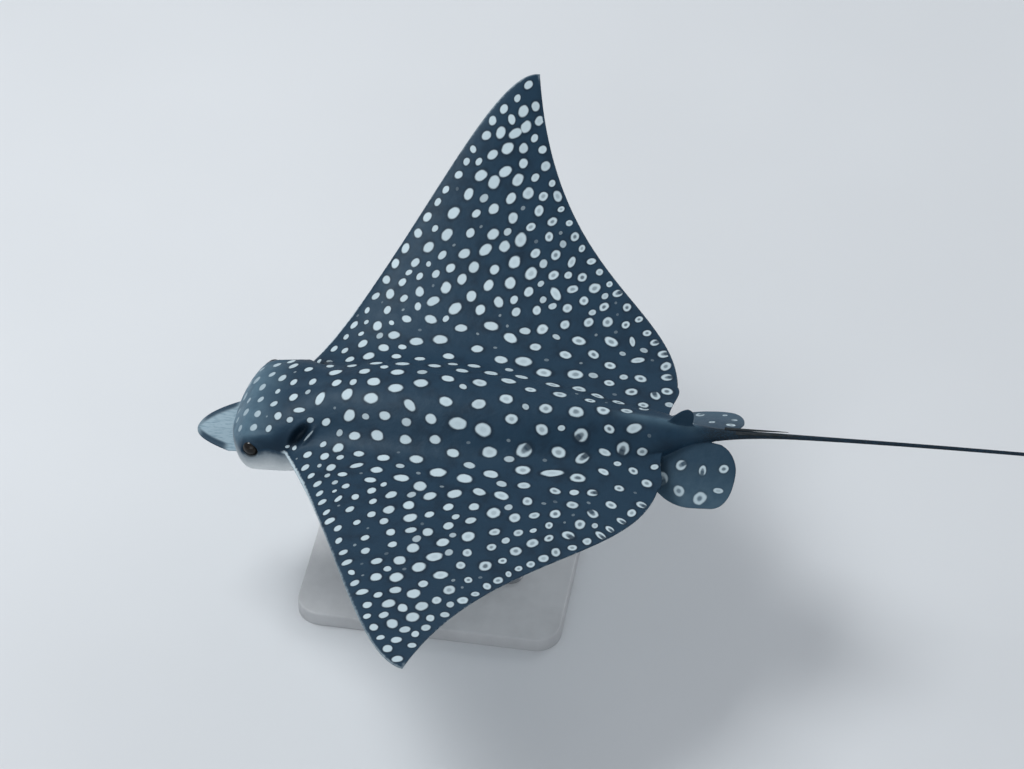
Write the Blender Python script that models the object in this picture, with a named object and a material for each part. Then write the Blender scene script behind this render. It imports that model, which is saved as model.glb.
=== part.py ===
"""Spotted eagle ray, life size, gliding on a plain two-rod museum stand.

The animal is shaped flat and straight first, in its own measures: side is toward the ray's left, back runs
from the snout tip to the tail, and up is toward its back skin. A pose then raises the wings, lets the tail
trail, and banks and tips the whole animal. Metres, +Z up, head toward -Y, origin at the middle of the stand's
underside.
"""

import math

import bmesh
import bpy
import numpy as np
from mathutils import Matrix, Vector

# Plan of the animal laid flat: places are (back, side)
HALF_SPAN = 0.800
WING_ROOT = (0.206, 0.1205)
WING_TIP = (0.575, HALF_SPAN)
REAR_CORNER = (0.921, 0.138)
FIN_AXIL = (0.918, 0.045)
NOSE_BACK = 0.080
NOSE_LENGTH = 0.055
NECK_BACK = 0.200
TAIL_BACK = 1.000
TAIL_END = 4.300
TAIL_CUTS = (1.350, 2.200, 3.250)
WING_PLANE = 0.115
GAP = 0.0003

# Handles of the curves along the wing's edges, each measured from its own end as (back, side)
ROOT_HANDLE = (0.160, 0.257)
TIP_FRONT_HANDLE = (-0.092, -0.007)
TIP_REAR_HANDLE = (0.068, -0.424)
CORNER_FRONT_HANDLE = (-0.027, 0.208)
CORNER_REAR_HANDLE = (0.016, -0.024)
AXIL_HANDLE = (-0.008, 0.042)

# Body stations: back, half width, top, bottom
STATIONS = (
    (0.080, 0.106, 0.014, -0.070),
    (0.110, 0.117, 0.036, -0.077),
    (0.140, 0.121, 0.049, -0.081),
    (0.170, 0.1205, 0.059, -0.084),
    (0.206, 0.1205, 0.070, -0.086),
    (0.280, 0.145, 0.084, -0.086),
    (0.370, 0.178, 0.092, -0.084),
    (0.480, 0.192, 0.091, -0.080),
    (0.600, 0.176, 0.081, -0.070),
    (0.720, 0.136, 0.064, -0.055),
    (0.830, 0.088, 0.046, -0.038),
    (0.918, 0.045, 0.031, -0.025),
    (0.960, 0.024, 0.021, -0.018),
    (1.000, 0.0145, 0.0145, -0.0145),
)
WIDTH, TOP, BOTTOM = 1, 2, 3

# The head hangs lower than the wings, by this much, and rises to their level over this stretch of the back
HEAD_DROP = 0.019
HEAD_RISE = (0.100, 0.220)

# Roundness of the back and belly domes along the head, their flare where wings run out of them, and the share
# of the wing's thickness that lies on that side of its middle sheet
BACK_DOME = (2.1, 1.7, 0.55)
BELLY_DOME = (3.0, 1.3, -0.45)
FLARE_IN = (0.190, 0.320)
FLARE_OUT = (0.800, 0.920)
SKIRT_SLOPE = 0.5
BLEND = 0.012

# Wing section: thickness at the root and tip, where along the chord it is thickest, and how it closes
ROOT_THICKNESS = 0.080
TIP_THICKNESS = 0.005
SPAN_TAPER = 1.35
THICKEST = 0.34
FRONT_ROUNDNESS = 0.55
REAR_SHARPNESS = 1.05
INNER_SLOPE = 1.5
CHORD_MARGIN = 0.010
RIM = 0.005

# Tail radius: a whip, and how it thickens toward its root
WHIP_END = 0.0016
WHIP_GAIN = 0.0024
WHIP_FADE = 1.2
STEM_GAIN = 0.00047
STEM_FADE = 0.065
STEM_BACK = 1.2

# Snout lobe
LOBE_LENGTH = 0.085
LOBE_HALF_WIDTH = 0.072
LOBE_HEIGHT = -0.050
LOBE_THICKNESS = 0.013
LOBE_TIP_SHARE = 0.50
LOBE_OVERLAPS = (0.012, 0.024)

# Eyes, as side, back and up
EYE_PLACE = (0.107, 0.139, -0.001)
EYE_RADIUS = 0.0175

# Pelvic fins: front and rear ends of the root's chord, and how the edges move toward the round tip
PELVIC_ROOT = (0.012, 0.862, 1.004, -0.008)
PELVIC_REACH = 0.122
PELVIC_DROOP_DEG = 22.0
PELVIC_THICKNESS = 0.012
PELVIC_SWEEP = (0.045, 0.054)
PELVIC_ROUNDING = (0.070, 0.042)
THINNEST_FIN = 0.0022

# Dorsal fin
DORSAL_BACK = 0.912
DORSAL_FOOT = 0.012
DORSAL_LENGTH = 0.056
DORSAL_HEIGHT = 0.036
DORSAL_THICKNESS = 0.010
DORSAL_SWEEP = 0.42
DORSAL_TAPER = 0.45

# Stings: two flat blades side by side on the tail's root
STING_LENGTH = 0.120
STING_BACKS = (1.030, 1.052)
STING_HALF_WIDTH = 0.0045
STING_FLATNESS = 0.4
STING_SPACING = 0.0125
STING_LIFT = 0.004

# Pose: each wing's slope in degrees near its root, with its growth and easing toward the tip
LEFT_WING = (8.0, 25.8, -19.1)
RIGHT_WING = (8.0, 30.5, -11.6)
WING_BEND = (0.08, 0.30)
WING_TWIST = -0.25
TWIST_BACK = 0.576
TAIL_START = 0.95
TAIL_RISE = 0.012
TAIL_LIFT = (0.85, 1.15)
TAIL_SAG = -0.20
TAIL_SWAY = 0.22
SWAY_RETURN = 0.55
PIVOT_BACK = 0.560
PIVOT_HEIGHT = 0.420
BANK_DEG = 3.45
NOSE_DOWN_DEG = 4.67

# Stand
BASE_BACK = 0.480
BASE_SIZE = (0.340, 0.520, 0.030)
BASE_CORNER = 0.050
BASE_EDGE = 0.004
ROD_RADIUS = 0.011
ROD_BACKS = (0.340, 0.620)
COLLAR_RADIUS = 0.024
COLLAR_HEIGHT = 0.014

# How finely the shapes are stepped
HALF_POINTS = 13
LOBE_POINTS = 16
TAIL_POINTS = 16
FIN_POINTS = 12
STING_POINTS = 8
EYE_SEGMENTS = (14, 8)
FINE_STEPS = 300

# Finishes: colour, roughness, metallic
FINISHES = {
    "ray_skin": ((0.022, 0.050, 0.085), 0.5, 0.0),
    "lobe_skin": ((0.090, 0.130, 0.170), 0.5, 0.0),
    "tail_skin": ((0.012, 0.020, 0.030), 0.5, 0.0),
    "eye_black": ((0.010, 0.010, 0.012), 0.1, 0.0),
    "sting_bone": ((0.300, 0.270, 0.220), 0.5, 0.0),
    "stand_board": ((0.030, 0.030, 0.032), 0.45, 0.0),
    "stand_steel": ((0.550, 0.560, 0.580), 0.3, 1.0),
}


def eased(value):
    """0 below 0, 1 above 1, and a smooth step between."""
    t = np.clip(value, 0.0, 1.0)
    return t * t * (3 - 2 * t)


def eased_between(value, limits):
    """0 before the first limit, 1 past the second, and a smooth step between."""
    return eased((value - limits[0]) / (limits[1] - limits[0]))


def running_length(*lines):
    """Distance along a line of points, from its first point, given as one array for each direction."""
    steps = np.sqrt(sum(np.diff(line) ** 2 for line in lines))
    return np.concatenate([[0], np.cumsum(steps)])


def signed_power(value, power):
    """A power that keeps the sign."""
    return np.sign(value) * abs(value) ** power


def quarter(share):
    """Height of a quarter circle over its run, from 0 at the edge to 1 one radius in."""
    return np.sqrt(np.clip(1 - (1 - np.clip(share, 0, 1)) ** 2, 0, 1))


def station(back, column):
    """One column of the body stations, read smoothly at any place along the back."""
    table = np.array(STATIONS)
    at, values = table[:, 0], table[:, column]
    slopes = np.gradient(values, at)
    back = np.clip(back, at[0], at[-1])
    i = np.clip(np.searchsorted(at, back) - 1, 0, len(at) - 2)
    step = at[i + 1] - at[i]
    t = (back - at[i]) / step
    return (
        (2 * t**3 - 3 * t**2 + 1) * values[i]
        + (t**3 - 2 * t**2 + t) * step * slopes[i]
        + (3 * t**2 - 2 * t**3) * values[i + 1]
        + (t**3 - t**2) * step * slopes[i + 1]
    )


def nose_growth(back):
    """How the blunt nose swells from nothing to the full section."""
    return quarter((back - NOSE_BACK) / NOSE_LENGTH)


def bezier(start, start_handle, end_handle, end, t):
    """Points (back, side) of a curve whose handles are measured from their own ends."""
    t = np.atleast_1d(t)[:, None]
    a, d = np.array(start), np.array(end)
    b, c = a + start_handle, d + end_handle
    return (1 - t) ** 3 * a + 3 * t * (1 - t) ** 2 * b + 3 * t**2 * (1 - t) * c + t**3 * d


def front_edge(t):
    """The leading edge, from the wing root to the tip."""
    return bezier(WING_ROOT, ROOT_HANDLE, TIP_FRONT_HANDLE, WING_TIP, t)


def rear_edge(t):
    """The trailing edge, from the tip to the rear corner."""
    return bezier(WING_TIP, TIP_REAR_HANDLE, CORNER_FRONT_HANDLE, REAR_CORNER, t)


def inner_edge(t):
    """The rounded free corner, back to the body at the axil."""
    return bezier(REAR_CORNER, CORNER_REAR_HANDLE, AXIL_HANDLE, FIN_AXIL, t)


def wing_chord(side):
    """Where the wing's front and rear edges lie at each distance out; both run on inside the body."""
    steps = np.linspace(0, 1, FINE_STEPS)
    front, rear = front_edge(steps), rear_edge(steps)[::-1]
    front_back = np.interp(side, front[:, 1], front[:, 0])
    front_back -= INNER_SLOPE * np.clip(WING_ROOT[1] - side, 0, None)
    rear_back = np.interp(side, rear[:, 1], rear[:, 0])
    return front_back, rear_back + CHORD_MARGIN


def level(back):
    """Height of the body's widest line: the wings' plane, and a little lower along the head."""
    return HEAD_DROP * (eased_between(back, HEAD_RISE) - 1)


def wing_thickness(back, side):
    """Whole thickness of the wing at any place of the plan."""
    front_back, rear_back = wing_chord(side)
    chord = np.maximum(rear_back - front_back, 1e-4)
    x = np.clip((back - front_back) / chord, 0.0, 1.0)
    foil = (x / THICKEST) ** FRONT_ROUNDNESS * ((1 - x) / (1 - THICKEST)) ** REAR_SHARPNESS
    taper = np.clip(1 - side / HALF_SPAN, 0, 1)
    return (ROOT_THICKNESS * taper**SPAN_TAPER + TIP_THICKNESS) * np.clip(foil, 0, 1)


def heights(back, side):
    """Heights of the back skin and the belly skin over the level line, at any place of the plan."""
    wing = wing_thickness(back, side) * nose_growth(back)
    half = np.maximum(station(back, WIDTH) * nose_growth(back), 1e-4)
    inside = np.clip(side / half, 0, 1)
    skirt = SKIRT_SLOPE * np.clip(side - half, 0, None)
    spread = eased_between(back, FLARE_IN) * (1 - eased_between(back, FLARE_OUT))
    result = []
    for column, (power, flare, share) in ((TOP, BACK_DOME), (BOTTOM, BELLY_DOME)):
        dome = abs(station(back, column) - level(back)) * nose_growth(back)
        inner_power = power + (2 - power) * spread
        outer_power = 1 / power + (flare - 1 / power) * spread
        over = dome * (1 - inside**inner_power) ** outer_power - skirt - wing * abs(share)
        joined = wing * abs(share) + 0.5 * (over + np.sqrt(over**2 + (BLEND * spread) ** 2))
        result.append(math.copysign(1, share) * joined)
    return result


def half_steps(count, pull=0.7):
    """Even steps from 0 to 1, drawn together at both ends."""
    t = np.linspace(0, 1, count)
    return t - pull * np.sin(2 * np.pi * t) / (2 * np.pi)


def ring(centre_back, margin, rim):
    """One closed section of the body, from the middle line to the margin point (back, side) each side."""
    g = np.sin(np.linspace(0, np.pi / 2, FINE_STEPS))
    back = centre_back + (margin[0] - centre_back) * g
    side = margin[1] * g
    inward = (1 - g) * np.hypot(margin[0] - centre_back, margin[1])
    closing = quarter(inward / max(rim, 1e-9))
    halves = []
    for height in heights(back, side):
        up = level(back) + height * closing
        run = running_length(side, back, up)
        at = half_steps(HALF_POINTS) * run[-1]
        points = np.stack([np.interp(at, run, line) for line in (side, back, up)], 1)
        points[-1, 2] = level(margin[0])
        halves.append(points)
    left = np.concatenate([halves[0], halves[1][-2::-1]])
    right = left[-2:0:-1] * (-1, 1, 1)
    return np.concatenate([left, right])


def level_ring(back):
    """A section straight across, where the body has no wing."""
    half = float(station(back, WIDTH) * nose_growth(back))
    return ring(back, (back, half), 0.0)


def circle(count):
    """Sines and cosines of even turns round a circle."""
    turn = np.linspace(0, 2 * np.pi, count, endpoint=False)
    return np.sin(turn), np.cos(turn)


def tail_radius(back):
    """Radius of the tail, a long whip that thickens at its root."""
    past = back - STEM_BACK
    return WHIP_END + WHIP_GAIN * math.exp(-past / WHIP_FADE) + STEM_GAIN * math.exp(-past / STEM_FADE)


def tail_rings(first, last, count):
    """Round sections of a length of the tail."""
    sine, cosine = circle(TAIL_POINTS)
    rings = []
    for back in np.linspace(first, last, count):
        radius = tail_radius(back)
        rings.append(np.stack([radius * sine, np.full(TAIL_POINTS, back), radius * cosine], 1))
    return rings


def bent_span(distance, angles):
    """Sideways reach, height and slope of the bent wing at each distance along its skin."""
    s = np.linspace(0, 1.1, FINE_STEPS)
    slope = np.radians(angles[0] + angles[1] * s + angles[2] * s * s) * eased_between(s, WING_BEND)
    step = HALF_SPAN * (s[1] - s[0])
    reach = np.concatenate([[0], np.cumsum((np.cos(slope[1:]) + np.cos(slope[:-1])) / 2 * step)])
    rise = np.concatenate([[0], np.cumsum((np.sin(slope[1:]) + np.sin(slope[:-1])) / 2 * step)])
    at = HALF_SPAN * s
    return [np.interp(distance, at, line) for line in (reach, rise, slope)]


def posed(points):
    """The flat animal's points in the gliding pose, in the model's own frame."""
    side, back, up = np.asarray(points, float).T
    out = abs(side)
    both = zip(bent_span(out, LEFT_WING), bent_span(out, RIGHT_WING))
    reach, rise, slope = (np.where(side > 0, left, right) for left, right in both)
    x = np.sign(side) * (reach - up * np.sin(slope))
    z = rise + up * np.cos(slope) + WING_TWIST * (back - TWIST_BACK) * out / HALF_SPAN
    tail = np.clip((back - TAIL_START) / (TAIL_END - TAIL_START), 0, 1)
    x += TAIL_SWAY * tail**2 * (1 - SWAY_RETURN * tail)
    z += TAIL_RISE * eased_between(back, TAIL_LIFT) + TAIL_SAG * tail**2
    banked = Matrix.Rotation(math.radians(BANK_DEG), 3, "Y")
    turned = Matrix.Rotation(math.radians(NOSE_DOWN_DEG), 3, "X") @ banked
    placed = np.stack([x, back - PIVOT_BACK, z], 1) @ np.array(turned).T
    return placed + (0, PIVOT_BACK - BASE_BACK, PIVOT_HEIGHT)


def material(name):
    """The Principled material of a finish, made once."""
    found = bpy.data.materials.get(name)
    if found is not None:
        return found
    colour, roughness, metallic = FINISHES[name]
    made = bpy.data.materials.new(name)
    made.use_nodes = True
    shader = made.node_tree.nodes["Principled BSDF"]
    shader.inputs["Base Color"].default_value = (*colour, 1)
    shader.inputs["Roughness"].default_value = roughness
    shader.inputs["Metallic"].default_value = metallic
    made.diffuse_color = (*colour, 1)
    return made


def collection(name):
    """A collection of the scene, by name."""
    found = bpy.data.collections.get(name)
    if found is None:
        found = bpy.data.collections.new(name)
        bpy.context.scene.collection.children.link(found)
    return found


def new_object(name, bm, finish=None):
    """An object from a bmesh; without a finish it is a cutter, which stays out of the model."""
    mesh = bpy.data.meshes.new(name)
    bmesh.ops.recalc_face_normals(bm, faces=bm.faces)
    bm.to_mesh(mesh)
    bm.free()
    mesh.shade_smooth()
    mesh.set_sharp_from_angle(angle=math.radians(40))
    obj = bpy.data.objects.new(name, mesh)
    if finish is None:
        obj.hide_render = True
        obj.display_type = "WIRE"
        collection("cutters").objects.link(obj)
    else:
        mesh.materials.append(material(finish))
        collection("spotted_eagle_ray").objects.link(obj)
    return obj


def animal_object(name, bm, finish=None):
    """An object of the animal, moved to the gliding pose; a cutter also grows by the gap."""
    bmesh.ops.triangulate(bm, faces=bm.faces)
    for vertex, point in zip(bm.verts, posed([vertex.co for vertex in bm.verts])):
        vertex.co = point
    if finish is None:
        bmesh.ops.recalc_face_normals(bm, faces=bm.faces)
        bm.normal_update()
        moves = [GAP * vertex.calc_shell_factor() * vertex.normal for vertex in bm.verts]
        for vertex, move in zip(bm.verts, moves):
            vertex.co += move
    return new_object(name, bm, finish)


def loft(rings):
    """A closed skin through rings of equal count, with a flat cap on each end."""
    bm = bmesh.new()
    rows = [[bm.verts.new(point) for point in points] for points in rings]
    count = len(rows[0])
    for near, far in zip(rows, rows[1:]):
        for i in range(count):
            j = (i + 1) % count
            bm.faces.new((near[i], near[j], far[j], far[i]))
    bm.faces.new(rows[0])
    bm.faces.new(rows[-1])
    bmesh.ops.triangulate(bm, faces=bm.faces)
    return bm


def cut(obj, cutter):
    """Takes the cutter's volume out of the object for good."""
    modifier = obj.modifiers.new(cutter.name, "BOOLEAN")
    modifier.operation = "DIFFERENCE"
    modifier.object = cutter
    graph = bpy.context.evaluated_depsgraph_get()
    mesh = bpy.data.meshes.new_from_object(obj.evaluated_get(graph))
    obj.modifiers.clear()
    obj.data = mesh
    return obj


def split_across(bm, place, facing=1, clear=False):
    """Splits a skin by an upright plane across the wings; it may also clear the side that the plane faces."""
    geometry = bm.verts[:] + bm.edges[:] + bm.faces[:]
    point, normal = (place, 0, 0), (facing, 0, 0)
    bmesh.ops.bisect_plane(bm, geom=geometry, dist=1e-6, plane_co=point, plane_no=normal, clear_outer=clear)


def keep_side(bm, place, toward):
    """Clips a closed skin by an upright plane across the wings and closes the cut."""
    split_across(bm, place, -toward, clear=True)
    rim = [edge for edge in bm.edges if edge.is_boundary]
    bmesh.ops.contextual_create(bm, geom=rim)
    return bm


def creased_by_cuts(bm):
    """Adds edges where the wings are cut off, so that a cutter bends exactly as the cut skin does."""
    for plane in (-WING_PLANE, WING_PLANE):
        split_across(bm, plane - GAP / 2)
        split_across(bm, plane + GAP / 2)
    return bm


def head_rings():
    """Sections of the head, from the blunt nose to the neck."""
    swell = NOSE_BACK + NOSE_LENGTH * (1 - np.cos(np.linspace(0.12, np.pi / 2, 8)))
    rest = np.linspace(NOSE_BACK + NOSE_LENGTH, NECK_BACK, 5)[1:]
    return [level_ring(back) for back in (*swell, *rest)]


def disc_rings():
    """Sections of the disc, fanned from the middle line to the wing's whole edge, and on to the tail root."""
    tip_back, corner_back, axil_back = 0.545, 0.858, 0.912
    rings = [level_ring(NECK_BACK + GAP)]
    for step in half_steps(13, 0.5):
        middle = WING_ROOT[0] + (tip_back - WING_ROOT[0]) * step
        rings.append(ring(middle, front_edge(step)[0], RIM * eased_between(step, (0, 0.15))))
    for step in half_steps(14, 0.4)[1:]:
        rings.append(ring(tip_back + (corner_back - tip_back) * step, rear_edge(step)[0], RIM))
    for step in np.linspace(0, 1, 7)[1:]:
        middle = corner_back + (axil_back - corner_back) * step
        rings.append(ring(middle, inner_edge(step)[0], RIM * (1 - eased_between(step, (0.6, 1)))))
    rings += [level_ring(back) for back in np.linspace(axil_back + 0.020, TAIL_BACK, 5)]
    return rings


def tail_root_rings():
    """Sections of the first length of the tail."""
    return tail_rings(TAIL_BACK + GAP, TAIL_CUTS[0], 9)


def lobe_ring(back):
    """A flat section of the snout lobe, with a rounded edge."""
    grown = min(back / LOBE_LENGTH, 1)
    half = LOBE_HALF_WIDTH * math.sqrt(grown)
    thick = LOBE_THICKNESS * (LOBE_TIP_SHARE + (1 - LOBE_TIP_SHARE) * grown)
    sine, cosine = circle(LOBE_POINTS)
    side = half * signed_power(sine, 0.6)
    up = LOBE_HEIGHT + 0.5 * thick * signed_power(cosine, 0.8)
    return np.stack([side, np.full(LOBE_POINTS, back), up], 1)


def ball(place, radius):
    """A sphere with its poles toward the sides."""
    bm = bmesh.new()
    turn = Matrix.Translation(place) @ Matrix.Rotation(math.pi / 2, 4, "Y")
    across, along = EYE_SEGMENTS
    bmesh.ops.create_uvsphere(bm, u_segments=across, v_segments=along, radius=radius, matrix=turn)
    return bm


def build_head():
    """Head and snout lobe, and an eye on each side."""
    head = animal_object("head", loft(head_rings()), "ray_skin")
    grown_head = animal_object("grown_head", loft(head_rings()))
    backs = LOBE_LENGTH * (1 - np.cos(np.linspace(0.10, np.pi / 2, 8)))
    rings = [lobe_ring(back) for back in (*backs, *(LOBE_LENGTH + more for more in LOBE_OVERLAPS))]
    cut(animal_object("rostral_lobe", loft(rings), "lobe_skin"), grown_head)
    for name, sign in (("eye_left", 1), ("eye_right", -1)):
        place = Vector((sign * EYE_PLACE[0], EYE_PLACE[1], EYE_PLACE[2]))
        socket = animal_object("socket_" + name, ball(place, EYE_RADIUS))
        cut(head, socket)
        animal_object(name, ball(place, EYE_RADIUS), "eye_black")


def build_disc():
    """Trunk and both wings, parted by thin upright cuts."""
    whole = loft(disc_rings())
    for name, sign in (("pectoral_fin_left", 1), ("pectoral_fin_right", -1)):
        wing = keep_side(whole.copy(), sign * (WING_PLANE + GAP / 2), sign)
        animal_object(name, wing, "ray_skin")
    trunk = keep_side(whole, WING_PLANE - GAP / 2, -1)
    trunk = keep_side(trunk, GAP / 2 - WING_PLANE, 1)
    animal_object("trunk", trunk, "ray_skin")


def fin_section(chord, thick):
    """A leaf shape of a fin's thickness across and its chord along the back."""
    sine, cosine = circle(FIN_POINTS)
    return 0.5 * chord * cosine, 0.5 * thick * signed_power(sine, 0.8)


def pelvic_ring(step, sign):
    """A section of a pelvic fin, from its root under the tail to its round tip."""
    droop = math.radians(PELVIC_DROOP_DEG)
    root_side, root_front, root_rear, root_up = PELVIC_ROOT
    rounding = 1 - math.sqrt(1 - step**4)
    front = root_front + PELVIC_SWEEP[0] * step + PELVIC_ROUNDING[0] * rounding
    rear = root_rear + PELVIC_SWEEP[1] * quarter(step / 0.5) - PELVIC_ROUNDING[1] * rounding
    thick = max(PELVIC_THICKNESS * (1 - 0.75 * step), THINNEST_FIN)
    along, across = fin_section(rear - front, thick)
    side = root_side + PELVIC_REACH * step * math.cos(droop) + across * math.sin(droop)
    up = root_up - PELVIC_REACH * step * math.sin(droop) + across * math.cos(droop)
    return np.stack([sign * side, (front + rear) / 2 + along, up], 1)


def dorsal_ring(step):
    """A level section of the small dorsal fin, swept back toward its round top."""
    chord = DORSAL_LENGTH * (1 - DORSAL_TAPER * step) * math.sqrt(max(1 - step**5, 0.03))
    centre = DORSAL_BACK + DORSAL_LENGTH * (0.5 + DORSAL_SWEEP * step)
    along, across = fin_section(chord, max(DORSAL_THICKNESS * (1 - 0.7 * step), THINNEST_FIN))
    up = DORSAL_FOOT + (DORSAL_HEIGHT + DORSAL_FOOT) * step
    return np.stack([across, centre + along, np.full(FIN_POINTS, up)], 1)


def build_rear_fins():
    """Pelvic fins and the dorsal fin, each fitted to the body's skin."""
    disc = animal_object("grown_disc", creased_by_cuts(loft(disc_rings())))
    tail = animal_object("grown_tail_root", loft(tail_root_rings()))
    for name, sign in (("pelvic_fin_left", 1), ("pelvic_fin_right", -1)):
        rings = [pelvic_ring(step, sign) for step in np.linspace(0, 1, 8)]
        cut(cut(animal_object(name, loft(rings), "ray_skin"), disc), tail)
    rings = [dorsal_ring(step) for step in np.linspace(0, 1, 7)]
    cut(cut(animal_object("dorsal_fin", loft(rings), "tail_skin"), disc), tail)


def sting_ring(first, step, number):
    """A flat section of a sting, which tapers to its tip and lifts a little off the tail."""
    size = STING_HALF_WIDTH * math.sqrt(1 - 0.97 * step)
    back = first + STING_LENGTH * step
    sine, cosine = circle(STING_POINTS)
    side = (number - 1.5) * STING_SPACING + size * sine
    rest = tail_radius(back) + STING_LIFT * (0.3 + step * number)
    return np.stack([side, np.full(STING_POINTS, back), rest + STING_FLATNESS * size * cosine], 1)


def build_tail():
    """The tail in four lengths, and two stings lying on its root."""
    animal_object("tail_root", loft(tail_root_rings()), "tail_skin")
    ends = (*TAIL_CUTS[1:], TAIL_END)
    for name, first, last in zip(("tail_middle", "tail_rear", "tail_tip"), TAIL_CUTS, ends):
        animal_object(name, loft(tail_rings(first + GAP, last, 8)), "tail_skin")
    grown = animal_object("grown_tail", loft(tail_root_rings()))
    for number, first in enumerate(STING_BACKS, 1):
        rings = [sting_ring(first, step, number) for step in np.linspace(0, 1, 6)]
        cut(animal_object(f"tail_sting_{number}", loft(rings), "sting_bone"), grown)


def build_stand_base():
    """A flat board with round corners and a softened upper edge."""
    bm = bmesh.new()
    bmesh.ops.create_cube(bm, size=1, matrix=Matrix.Translation((0, 0, 0.5)))
    bmesh.ops.scale(bm, vec=BASE_SIZE, verts=bm.verts)
    upright = [edge for edge in bm.edges if abs(edge.verts[0].co.z - edge.verts[1].co.z) > BASE_EDGE]
    bmesh.ops.bevel(bm, geom=upright, offset=BASE_CORNER, segments=6, profile=0.5, affect="EDGES")
    upper = [edge for edge in bm.edges if min(v.co.z for v in edge.verts) > BASE_SIZE[2] - BASE_EDGE]
    bmesh.ops.bevel(bm, geom=upper, offset=BASE_EDGE, segments=2, profile=0.5, affect="EDGES")
    new_object("stand_base", bm, "stand_board")


def cylinder(foot, radius, height):
    """An upright cylinder standing on a place."""
    bm = bmesh.new()
    middle = Matrix.Translation((foot[0], foot[1], foot[2] + height / 2))
    bmesh.ops.create_cone(
        bm, cap_ends=True, segments=24, radius1=radius, radius2=radius, depth=height, matrix=middle
    )
    return bm


def build_stand():
    """Base board, and two rods with collars, fitted to the belly."""
    build_stand_base()
    belly = animal_object("grown_belly", creased_by_cuts(loft(disc_rings())))
    for name, back in zip(("front", "rear"), ROD_BACKS):
        foot = Vector((0, back - BASE_BACK, BASE_SIZE[2] + GAP))
        new_object("stand_collar_" + name, cylinder(foot, COLLAR_RADIUS, COLLAR_HEIGHT), "stand_steel")
        foot.z += COLLAR_HEIGHT + GAP
        rod = cylinder(foot, ROD_RADIUS, PIVOT_HEIGHT - foot.z)
        cut(new_object("stand_rod_" + name, rod, "stand_steel"), belly)


def main():
    for obj in list(bpy.data.objects):
        bpy.data.objects.remove(obj)
    build_head()
    build_disc()
    build_rear_fins()
    build_tail()
    build_stand()


main()
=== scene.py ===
"""Looks of the spotted eagle ray model: its skin and markings, eyes, stings, stand and studio.

The animal is shaped flat and straight first. A flat place is (side, back, up): side is toward the ray's left,
back runs from the snout tip toward the tail, and up is toward the back skin. Pose then moves the flat animal
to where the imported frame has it. Every length is in metres.
"""

import logging
import math
from collections.abc import Callable
from dataclasses import dataclass, field, replace
from enum import Enum, IntEnum
from functools import partial

import bmesh
import bpy
import numpy as np
from mathutils import Matrix, Vector, kdtree


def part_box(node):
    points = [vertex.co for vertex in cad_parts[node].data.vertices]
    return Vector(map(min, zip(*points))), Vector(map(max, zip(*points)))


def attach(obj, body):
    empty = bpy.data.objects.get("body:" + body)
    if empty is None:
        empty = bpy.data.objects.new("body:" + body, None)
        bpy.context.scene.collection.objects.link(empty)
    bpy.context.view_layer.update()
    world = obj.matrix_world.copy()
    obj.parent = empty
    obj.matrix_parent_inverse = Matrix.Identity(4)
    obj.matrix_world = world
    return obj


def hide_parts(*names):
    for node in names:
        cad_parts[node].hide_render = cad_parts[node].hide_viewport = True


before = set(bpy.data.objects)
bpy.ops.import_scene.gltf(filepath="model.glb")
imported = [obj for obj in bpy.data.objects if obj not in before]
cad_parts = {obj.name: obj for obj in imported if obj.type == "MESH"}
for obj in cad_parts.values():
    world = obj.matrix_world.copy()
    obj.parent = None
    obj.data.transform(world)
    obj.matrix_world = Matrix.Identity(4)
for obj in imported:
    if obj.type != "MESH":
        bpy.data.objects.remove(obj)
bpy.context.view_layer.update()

Array = np.ndarray
Values = np.ndarray | float
Pair = tuple[float, float]
Triple = tuple[float, float, float]
Socket = bpy.types.NodeSocket
Sockets = bpy.types.NodeOutputs
Shape = bmesh.types.BMesh
Mesh = bpy.types.Mesh
Piece = bpy.types.Object
Material = bpy.types.Material
LOG = logging.getLogger("spotted_eagle_ray")
SEED = 20260


class Side(IntEnum):
    """The ray's own left and right."""

    LEFT = 1
    RIGHT = -1


class Part(IntEnum):
    """What each face of the one skin belongs to."""

    BODY = 0
    LOBE = 1
    PELVIC = 2
    DORSAL = 3


def eased(value: Values) -> Array:
    """0 below 0, 1 above 1, and a smooth step between."""
    t = np.clip(value, 0.0, 1.0)
    return t * t * (3 - 2 * t)


def between(value: Values, first: float, last: float) -> Array:
    """0 before the first limit, 1 past the last, and a smooth step between."""
    return eased((np.asarray(value) - first) / (last - first))


def quarter(share: Values) -> Array:
    """Height of a quarter circle over its run, from 0 at the edge to 1 one radius in."""
    return np.sqrt(np.clip(1 - (1 - np.clip(share, 0, 1)) ** 2, 0, 1))


def signed_power(value: Array, power: float) -> Array:
    """A power that keeps the sign."""
    return np.sign(value) * abs(value) ** power


def circle(count: int) -> tuple[Array, Array]:
    """Sines and cosines of even turns round a circle."""
    turn = np.linspace(0, 2 * np.pi, count, endpoint=False)
    return np.sin(turn), np.cos(turn)


def unit(vector: Array) -> Array:
    """The vector at length 1."""
    vector = np.asarray(vector, float)
    return vector / np.linalg.norm(vector, axis=-1, keepdims=True)


def tree_of(places: list[Array] | Array) -> kdtree.KDTree:
    """A search tree over places.

    Args:
        places: Points of three coordinates.

    Returns:
        The tree, whose hits give their numbers.
    """
    tree = kdtree.KDTree(len(places))
    for i, place in enumerate(places):
        tree.insert(place, i)
    tree.balance()
    return tree


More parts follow.
